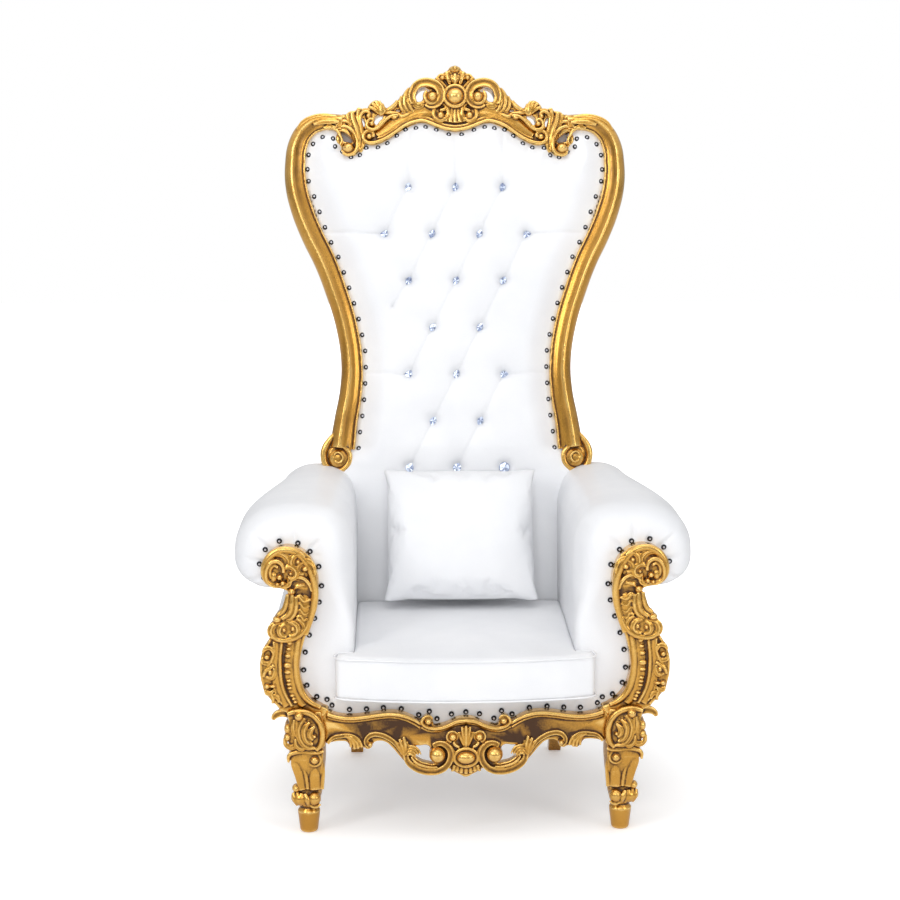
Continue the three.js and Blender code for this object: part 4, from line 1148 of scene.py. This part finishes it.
NAILED = -9
STEP = 4.1
pad = bmesh.new()
top, bottom = slope(1690), slope(PAD_FOOT)
columns, rows = int(820 / STEP), int((top - bottom) / STEP)
place = Matrix.Translation((0, (top + bottom) / 2, 0)) @ Matrix.Diagonal((410, (top - bottom) / 2, 1, 1))
bmesh.ops.create_grid(pad, x_segments=columns, y_segments=rows, size=1, matrix=place)
spots = np.array([v.co.xy for v in pad.verts])
depth_in = edge_distance(spots)
heights = pad_height(spots)
heights = eased(heights, depth_in, spots[:, 1])
outside = []
for v, height, off in zip(pad.verts, heights, depth_in):
    v.co.z = height
    if off < -tuck:
        outside.append(v)
bmesh.ops.delete(pad, geom=outside, context="VERTS")
rim = [e for e in pad.edges if e.is_boundary]
grown = bmesh.ops.extrude_edge_only(pad, edges=rim)["geom"]
for v in [g for g in grown if isinstance(g, bmesh.types.BMVert)]:
    v.co.z = -FRAME_THICK
back_rim = [g for g in grown if isinstance(g, bmesh.types.BMEdge)]
bmesh.ops.edgeloop_fill(pad, edges=back_rim)
bmesh.ops.recalc_face_normals(pad, faces=pad.faces)
pad_mesh = bpy.data.meshes.new("back_pad")
pad.to_mesh(pad_mesh)
back_pad = placed("back_upholstery", pad_mesh, LEANING, ["back_pad"], LEATHER,
                  hollows=False)

# %% Crystals
def crystal(number, x, y):
    """A round cut stone: a flat table, a ring of facets, a girdle, and a silvered cup behind it."""
    stone = bmesh.new()
    bmesh.ops.create_cone(stone, cap_ends=True, segments=8, radius1=14.2, radius2=8, depth=5.5,
                          matrix=Matrix.Translation((0, 0, 3.8)))
    turn = Matrix.Rotation(math.pi / 8, 4, "Z")
    cup = bmesh.ops.create_cone(stone, cap_ends=True, segments=12, radius1=12, radius2=14.4, depth=8,
                                matrix=Matrix.Translation((0, 0, -3.2)) @ turn)
    star = bmesh.ops.create_cone(stone, cap_ends=False, segments=12, radius1=12.5, radius2=0, depth=2.5,
                                 matrix=Matrix.Translation((0, 0, 2.4)) @ turn)
    # Each facet of the silvered back gets a random brightness, a painted reflection that the foil reads.
    spark = stone.faces.layers.float.new("spark")
    dice = np.random.default_rng(number)
    for v in cup["verts"] + star["verts"]:
        for face in v.link_faces:
            if not face.material_index:
                face.material_index = 1
                face[spark] = dice.choice([0.0, 0.15, 0.5, 1.0])
    mesh = bpy.data.meshes.new("crystal")
    stone.to_mesh(mesh)
    height = float(pad_height(np.array([[x, y]]))[0])
    turned = Matrix.Translation((x, y, height + 9)) @ Matrix.Rotation(0.7 * number, 4, "Z")
    name = "crystal_stone_%02d" % number
    piece = placed(name, mesh, LEANING @ turned, ["crystal_button_%02d" % number], CRYSTAL,
                   False)
    piece.data.polygons.foreach_set("use_smooth", [False] * len(piece.data.polygons))
    piece.data.materials.append(FOIL)
    return piece


for number, (x, y) in enumerate(places, 1):
    crystal(number, x, y)

# %% [markdown]
# ## The outside of the back, the arms and the seat
#
# These are plain padded shapes, so each starts as a plank of its outline. The deck, the arms and the seat
# cushion are remeshed evenly, and the arms and the cushion are then moved by a formula: the arm leans and slims
# to the back and rounds off at its front, the seat cushion crowns and rises to the back. Piping is a cord along
# the seams.

# %% The outside back
side = 343
outside_half = on_back([(0, 1692), (110, 1700), (200, 1668), (290, 1672), (336, 1684), (372, 1674),
                        (396, 1650), (408, 1600), (404, 1530), (386, 1470), (350, 1380), (318, 1300),
                        (292, 1220), (274, 1150), (262, 1080), (262, 1020), (268, 940), (278, 880),
                        (298, 820), (side, 772)]
                       + [(side, LEG_TOP + 12.3), (0, LEG_TOP + 12.3)])
outside_mesh = gathered([plank(whole(outside_half), 6, edge=2.5)])
outside_mesh.transform(Matrix.Translation((0, 0, -FRAME_THICK - 0.3)))
placed("outside_back_leather", outside_mesh, LEANING, ["outside_back"], LEATHER, False)

# %% The arms
ARM_IN = 261
ROLL_X, ROLL_Z = 405, 640
ROLL_FROM = 480
ARM_LONG = (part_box("arm_pad_right")[1].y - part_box("arm_pad_right")[0].y) / MM
arm_front_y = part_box("arm_pad_right")[0].y
arm_section = [(ARM_IN, 299.8), (ARM_IN, 400), (ARM_IN, 520), (ARM_IN + 1, 640), (269, 700), (294, 742),
               (338, 763), (396, 768), (456, 762), (506, 738), (537, 700), (546, 655), (540, 612),
               (508, 583), (470, 573), (437, 578), (422, 560), (425, 530), (444, 498), (460, 455),
               (465, 405), (456, 360), (436, 322), (420, 299.8)]
arm_bar = skinned([plank(arm_section, ARM_LONG, edge=20)], 6.0, 3)


def eased_step(value):
    value = np.clip(value, 0, 1)
    return value * value * (3 - 2 * value)


# angle round the scroll in degrees, length of the fold from there, and depth
ARM_FOLDS = ((97, 105, 6), (137, 100, 6), (38, 120, 5), (8, 118, 5), (-22, 115, 5), (68, 88, 3),
             (160, 80, 3))


def arm_form(points):
    """The arm's run from front to back: a domed front to the roll, then slimmer and higher to the rear."""
    x, up, back = points[:, 0], points[:, 1], -points[:, 2]
    share = np.clip(back / ARM_LONG, 0, 1)
    high = eased_step((up - ROLL_FROM) / 120)
    near = np.clip(back / 105, 0, 1)
    size = 1 - high * 0.42 * (1 - np.sqrt(1 - (1 - near) ** 2 * 0.999))
    slim = 1 - 0.26 * eased_step((share - 0.35) / 0.65) * high
    wide = ARM_IN + (400 + (x - 400) * size - ARM_IN) * slim
    up = ROLL_Z + (up - ROLL_Z) * np.where(up > ROLL_FROM, size, 1) + 30 * share * high
    rear = (BACK_FOOT_Y - arm_front_y) / MM + (up - LEG_TOP) * math.tan(BACK_LEAN) + FRAME_THICK
    deep = np.where(back > 0.8 * ARM_LONG, np.minimum(back, rear - 3), back)
    turn = np.degrees(np.arctan2(up - ROLL_Z, wide - ROLL_X))
    out = np.hypot(up - ROLL_Z, wide - ROLL_X)
    crease = sum(d * np.exp(-((turn - a) * out / 57.3 / 5) ** 2) * (1 - eased_step((out - r + 25) / 25))
                 for a, r, d in ARM_FOLDS)
    crease = crease * (1 - eased_step((back - 30) / 60)) * eased_step((out - 52) / 12)
    pull = np.where(back > 12, crease / np.maximum(out, 1), 0)
    return np.stack([wide - (wide - ROLL_X) * pull, up - (up - ROLL_Z) * pull,
                     -deep - crease * (back < 60)], 1)


ARM_SPACE = Matrix.Translation((0, arm_front_y, 0)) @ upright
for arm in placed_pair("arm_upholstery", moved(arm_bar, arm_form), ARM_SPACE, "arm_pad", LEATHER,
                       False):
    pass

# %% The seat: deck, cushion and piping
DECK_TOP = 325
flat = Matrix.Scale(MM, 4)
face = FACE_Y / MM
lip = 317
behind = face + RAIL_THICK + 9
deck_low, deck_high = (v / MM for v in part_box("seat_deck"))


def rail_bow(x):
    return RAIL_BOW * (1 - (x / rail_half) ** 2)


deck_half = [(0, deck_high.y), (ARM_IN - 1, deck_high.y), (ARM_IN - 1, deck_low.y + 66),
             (lip, deck_low.y + 64)]
deck_half += [(x, behind - rail_bow(x)) for x in (lip, 240, 160, 80, 0)]
deck_part = plank(whole(deck_half), DECK_TOP - deck_low.z, edge=5, smooth=False)
bmesh.ops.translate(deck_part, verts=deck_part.verts, vec=(0, 0, DECK_TOP))
deck = placed("seat_deck_leather", skinned([deck_part], 9, 1), flat, ["seat_deck"], LEATHER,
              False)

cushion_low, cushion_high = (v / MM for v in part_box("seat_cushion"))
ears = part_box("arm_pad_right")[0].y / MM - 3
half_front = 304
bow = [(0, cushion_low.y + 2), (110, cushion_low.y + 6), (220, cushion_low.y + 20), (half_front - 6,
                                                                                     cushion_low.y + 42)]
cushion_half = [(0, cushion_high.y), (256, cushion_high.y), (263, cushion_high.y - 12), (263, ears + 6),
                (266, ears), (half_front - 4, ears), (half_front, ears - 8),
                (half_front, cushion_low.y + 50),
                *bow[::-1]]
FRONT_TOP = 430
CUSHION_TALL = FRONT_TOP - cushion_low.z
cushion_part = plank(whole(cushion_half), CUSHION_TALL, edge=10, smooth=False)
bmesh.ops.translate(cushion_part, verts=cushion_part.verts, vec=(0, 0, cushion_low.z + CUSHION_TALL))
cushion_mesh = skinned([cushion_part], 5.6, 3)


def cushion_top(x, y):
    """How far the cushion's top stands above its front edge."""
    back = np.clip((y - cushion_low.y) / (cushion_high.y - cushion_low.y), 0, 1)
    crown = 8 * (1 - (x / half_front) ** 4) * np.sin(math.pi * np.clip(back, 0.02, 0.98)) ** 0.7
    return 26 * back * back * (3 - 2 * back) + crown


def cushion_form(points):
    x, y, z = points.T
    share = np.clip((z - cushion_low.z) / CUSHION_TALL, 0, 1)
    near = np.exp(-((y - cushion_low.y) / 40) ** 2)
    belly = 5 * near * np.sin(math.pi * share)
    return np.stack([x, y - belly, z + share * cushion_top(x, y)], 1)


cushion = placed("seat_cushion_leather", moved(cushion_mesh, cushion_form), flat, ["seat_cushion"], LEATHER,
                 False)


def piping(name, lines, radius=2.3):
    """Leather rolled round a cord, along a seam."""
    curve = bpy.data.curves.new(name, "CURVE")
    curve.dimensions = "3D"
    curve.bevel_depth = radius * MM
    curve.bevel_resolution = 3
    curve.resolution_u = 8
    curve.use_fill_caps = True
    for points, cyclic in lines:
        draw(curve, [tuple(Vector(p) * MM) for p in points], cyclic=cyclic)
    curve.materials.append(LEATHER)
    piece = bpy.data.objects.new(name, curve)
    scene.collection.objects.link(piece)
    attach(piece, "root")
    return piece


seams = []
for height in (cushion_low.z + 5, FRONT_TOP - 4):
    share = (height - cushion_low.z) / CUSHION_TALL
    right = [(x, y - 1, height + share * float(cushion_top(x, y))) for x, y in bow]
    corner_points = [(half_front, cushion_low.y + 52), (half_front, ears - 10), (half_front - 6, ears + 1),
                     (262, ears + 1)]
    right += [(x + 1, y, height + share * float(cushion_top(x, y))) for x, y in corner_points]
    seams.append(([(-x, y, z) for x, y, z in right[:0:-1]] + right, False))
piping("cushion_piping", seams)

# %% [markdown]
# ## The pillow
#
# A square pillow leans on the back. Its cover is loosely filled, so it puckers along its seams and its corners
# stay pointed. A formula can't give such puckers, so the plain shape is blown up by a short cloth simulation.
# The seams pull in as it swells, so it starts with a top and a foot that bulge a little. How far a point may
# move is capped, and the result is brought back to the pillow's size.

# %% Swelling a cover over its filling
def puffed(mesh, voxel, pressure, cap, size):
    """The same mesh after a short cloth simulation that blows it up, held to a cap and to a size."""
    bag = bpy.data.objects.new("bag", mesh.copy())
    bag.data.transform(Matrix.Scale(MM, 4))
    scene.collection.objects.link(bag)
    grid = bag.modifiers.new("grid", "REMESH")
    grid.mode = "VOXEL"
    grid.voxel_size = voxel * MM
    even = bpy.data.meshes.new_from_object(bag.evaluated_get(bpy.context.evaluated_depsgraph_get()))
    bag.modifiers.clear()
    bag.data = even
    cloth = bag.modifiers.new("cloth", "CLOTH")
    cloth.settings.use_pressure = True
    cloth.settings.uniform_pressure_force = pressure
    cloth.settings.effector_weights.gravity = 0
    cloth.settings.bending_stiffness = 0.3
    cloth.point_cache.frame_start, cloth.point_cache.frame_end = 1, 20
    for frame_number in range(1, 21):
        scene.frame_set(frame_number)
    swollen = bpy.data.meshes.new_from_object(bag.evaluated_get(bpy.context.evaluated_depsgraph_get()))
    before, after = numbers(even.vertices, "co", 3) / MM, numbers(swollen.vertices, "co", 3) / MM
    move = after - before
    far = np.linalg.norm(move, axis=1, keepdims=True)
    after = before + move * np.minimum(1, cap / np.maximum(far, 1e-6))
    low, high = after.min(0), after.max(0)
    after = (after - (low + high) / 2) * np.array(size) / (high - low)
    scene.frame_set(1)
    bpy.data.objects.remove(bag)
    swollen.vertices.foreach_set("co", after.astype(np.float32).ravel())
    print(mesh.name, "swelled by up to", round(float(far.max()), 1), "mm, capped at", cap)
    return swollen


# %% Pillow
pillow_low, pillow_high = (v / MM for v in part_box("pillow"))
pillow_at = (pillow_low + pillow_high) / 2 + Vector((0, 1, 6))
PILLOW_WIDE, PILLOW_TALL, PILLOW_THICK = 388, 344, 118
PILLOW_LEAN = math.radians(24)
pillow_part = bmesh.new()
bmesh.ops.create_cube(pillow_part, size=2)
bmesh.ops.subdivide_edges(pillow_part, edges=pillow_part.edges, cuts=40, use_grid_fill=True)
for v in pillow_part.verts:
    u, thick, w = v.co
    full = 0.05 + 0.95 * max(0, (1 - abs(u) ** 3.2) * (1 - abs(w) ** 3.2)) ** 0.5
    waist_w = 1 + 0.055 * (1 - abs(u) ** 2.4) * abs(w)
    v.co = (u * PILLOW_WIDE / 2, thick * full * PILLOW_THICK / 2, w * waist_w * PILLOW_TALL / 2)
pillow_mesh = bpy.data.meshes.new("pillow")
pillow_part.to_mesh(pillow_mesh)
pillow_mesh = puffed(pillow_mesh, voxel=6, pressure=4, cap=18, size=(PILLOW_WIDE, PILLOW_THICK,
                                                                     PILLOW_TALL))
PILLOW = Matrix.Translation(pillow_at * MM) @ Matrix.Rotation(-PILLOW_LEAN, 4, "X") @ flat
pillow = placed("pillow_leather", pillow_mesh, PILLOW, ["pillow"], LEATHER, False)

# %% [markdown]
# ## Nails
#
# Round-headed nails hold the leather to the frame: down the inner edge of each stile, along the lower edge of
# the top rail, round each arm scroll and along the front rail. They are all one small dome, set on the leather
# along a line just inside the frame: at even steps down the stiles and at listed places elsewhere.

# %% Nails along a line
NAIL_RADIUS = 6.6
NAIL_FLAT = 0.62
GLINT_FROM = 0.6


def nail_row(name, spots, space):
    """Nails at (x, y, height) places of a board."""
    total = bmesh.new()
    for x, y, height in spots:
        place = Matrix.Translation((x, y, height)) @ Matrix.Diagonal((1, 1, NAIL_FLAT, 1))
        head = bmesh.ops.create_uvsphere(total, u_segments=12, v_segments=16, radius=NAIL_RADIUS,
                                         matrix=place)
        # The faces round each nail's top take the painted highlight.
        for v in head["verts"]:
            if v.co.z > height + GLINT_FROM * NAIL_RADIUS:
                for face in v.link_faces:
                    face.material_index = 1
    mesh = bpy.data.meshes.new(name)
    total.to_mesh(mesh)
    row = placed(name, mesh, space, [], NAIL, False)
    row.data.materials.append(NAIL_GLINT)
    print(name, len(spots), "nails,", sum(p.material_index for p in row.data.polygons), "worn faces")
    return row


def spaced(points, pitch):
    """Places at an even pitch along a line of points."""
    line = np.array(points, float)
    at = np.concatenate([[0], np.cumsum(np.hypot(*np.diff(line, axis=0).T))])
    count = max(2, round(at[-1] / pitch) + 1)
    where = np.linspace(0, at[-1], count)
    return np.stack([np.interp(where, at, line[:, k]) for k in (0, 1)], 1)


stile_nails = offset(on_back([(392, 1530), *stile_inside[7:-1], (264, 838)]), -7)
crest_nails = on_back([(17, 1652), (50, 1664), (78, 1671), (103, 1668), (130, 1665), (153, 1649),
                       (178, 1629), (203, 1618), (234, 1617), (250, 1598), (274, 1593), (297, 1608),
                       (316, 1621), (321, 1641), (348, 1645), (373, 1628), (385, 1600), (388, 1563),
                       (386, 1530)])
right_nails = [*spaced(stile_nails, 44), *[np.array(p) for p in crest_nails[:-1]]]
all_nails = np.array([*right_nails, *[(-x, y) for x, y in right_nails]])
off = edge_distance(all_nails)
lifts = eased(pad_height(all_nails), off, all_nails[:, 1])
nail_row("nails_back", [(x, y, z) for (x, y), z in zip(all_nails, lifts)], LEANING)

arm_nail_line = [(470, 612), (480, 645), (466, 679), (433, 699), (390, 694), (362, 674), (342, 638),
                 (336, 592), (342, 553), (353, 514), (366, 474), (376, 433), (380, 390), (373, 353),
                 (350, 325), (326, 318), (314, 304)]
for name, space in (("nails_arm_right", FRONT), ("nails_arm_left", MIRROR @ FRONT)):
    nail_row(name, [(x, y, -ARM_FRONT_THICK + 2) for x, y in arm_nail_line], space)

rail_nail_x = [1, 33, 67, 85, 110, 151, 193, 233, 273]
rail_nail_z = [291, 286, 275, 293, 285, 300, 303, 300, 299]
rail_nails = []
for x in [*rail_nail_x, *[-x for x in rail_nail_x[1:]]]:
    above = float(np.interp(abs(x), [0, *rail_nail_x[1:]], rail_nail_z))
    rail_nails.append((x, above - 5 + RAIL_LIFT * rail_bow(x), rail_bow(x) - RAIL_THICK - 5))
nail_row("nails_rail", rail_nails, FRONT)

# %% [markdown]
# ## Floor, light and camera
#
# The chair stands on a plain pale floor in a bright white studio. A lamp above the camera and one on the left
# shape it, with weaker ones on the right and above. A broad low lamp beside the camera only fills the gaps
# between the cushions, and isn't mirrored in the gold. The surround is brighter for plain surfaces than a lit
# room would be, to keep the leather's shadows soft, and runs from dark below to bright above where the gold
# mirrors it, which gives the carving its contrast. The camera looks from a little left of the middle, from
# standing height.

# %% Floor and lights
floor_mesh = bpy.data.meshes.new("floor")
floor_part = bmesh.new()
bmesh.ops.create_grid(floor_part, x_segments=1, y_segments=1, size=20)
floor_part.to_mesh(floor_mesh)
floor = bpy.data.objects.new("floor", floor_mesh)
scene.collection.objects.link(floor)
FLOOR, floor_tree, floor_shader = tree_of("floor")
plain(floor_shader, Base_Color=(0.93, 0.93, 0.935, 1), Roughness=0.7, Emission_Color=(1, 1, 1, 1))
place = floor_tree.nodes.new("ShaderNodeTexCoord")
reach = floor_tree.nodes.new("ShaderNodeVectorMath")
reach.operation = "LENGTH"
floor_tree.links.new(place.outputs["Object"], reach.inputs[0])
# Painted light: for the camera the floor glows, faintly near the chair and fully far from it, so that it fades
# into the white backdrop.
glow = remap(floor_tree, reach.outputs["Value"], 0.3, 1.9, 0.12, 1.0)
seen = floor_tree.nodes.new("ShaderNodeLightPath").outputs["Is Camera Ray"]
floor_tree.links.new(maths(floor_tree, "MULTIPLY", glow, seen), floor_shader.inputs["Emission Strength"])
floor_mesh.materials.append(FLOOR)

world = bpy.data.worlds.new("studio")
world.use_nodes = True
sky = world.node_tree
sky.nodes["Background"].inputs["Color"].default_value = (1, 1, 1, 1)
toward = sky.nodes.new("ShaderNodeTexCoord")
height = sky.nodes.new("ShaderNodeSeparateXYZ")
sky.links.new(toward.outputs["Generated"], height.inputs["Vector"])
around = remap(sky, height.outputs["Z"], -0.3, 0.9, 0.2, 0.66)
paths = sky.nodes.new("ShaderNodeLightPath")
around = maths(sky, "ADD", around, maths(sky, "MULTIPLY", paths.outputs["Is Diffuse Ray"], 0.17))
mirrored_sky = remap(sky, height.outputs["Z"], -0.3, 0.8, 0.03, 1.15)
extra = maths(sky, "MULTIPLY", maths(sky, "SUBTRACT", mirrored_sky, around), paths.outputs["Is Glossy Ray"])
around = maths(sky, "ADD", around, extra)
sky.links.new(maths(sky, "MAXIMUM", around, paths.outputs["Is Camera Ray"]),
              sky.nodes["Background"].inputs["Strength"])
scene.world = world
scene.view_settings.view_transform = "Standard"


def light(name, place, target, size, power, shines=True):
    data = bpy.data.lights.new(name, "AREA")
    data.shape = "RECTANGLE"
    data.size, data.size_y = size
    data.energy = power
    lamp = bpy.data.objects.new(name, data)
    lamp.location = place
    lamp.rotation_mode = "QUATERNION"
    lamp.rotation_quaternion = (Vector(target) - Vector(place)).to_track_quat("-Z", "Y")
    lamp.visible_glossy = shines
    scene.collection.objects.link(lamp)


light("front", (-0.7, -4.4, 3.2), (0, 0, 0.95), (1.8, 1.2), 21)
light("low", (-0.15, -4.9, 1.3), (0, 0, 0.75), (1.8, 1.0), 54, False)
light("key", (-2.6, -2.6, 2.8), (0, 0, 1.0), (0.8, 1.8), 29)
light("fill", (2.8, -2.6, 2.0), (0, 0, 0.9), (0.8, 1.8), 17)
light("top", (0, -0.6, 3.6), (0, 0, 0.8), (2.0, 1.2), 13)

# %% Camera
camera = bpy.data.objects.new("camera", bpy.data.cameras.new("camera"))
camera.location = (-0.1689, -4.3905, 1.5)
camera.rotation_euler = (math.radians(90 - 8.249), 0, math.radians(-1.882))
camera.data.sensor_width = 36
camera.data.lens = 70.82
scene.collection.objects.link(camera)
scene.camera = camera

# %% [markdown]
# ## The gouges
#
# The gouges' sections were only tools for the sweeps, so they are removed.

# %% Remove the gouge sections
for gouge in (ROUND, RIDGE, SWELL, COVE, STILE):
    bpy.data.objects.remove(gouge)
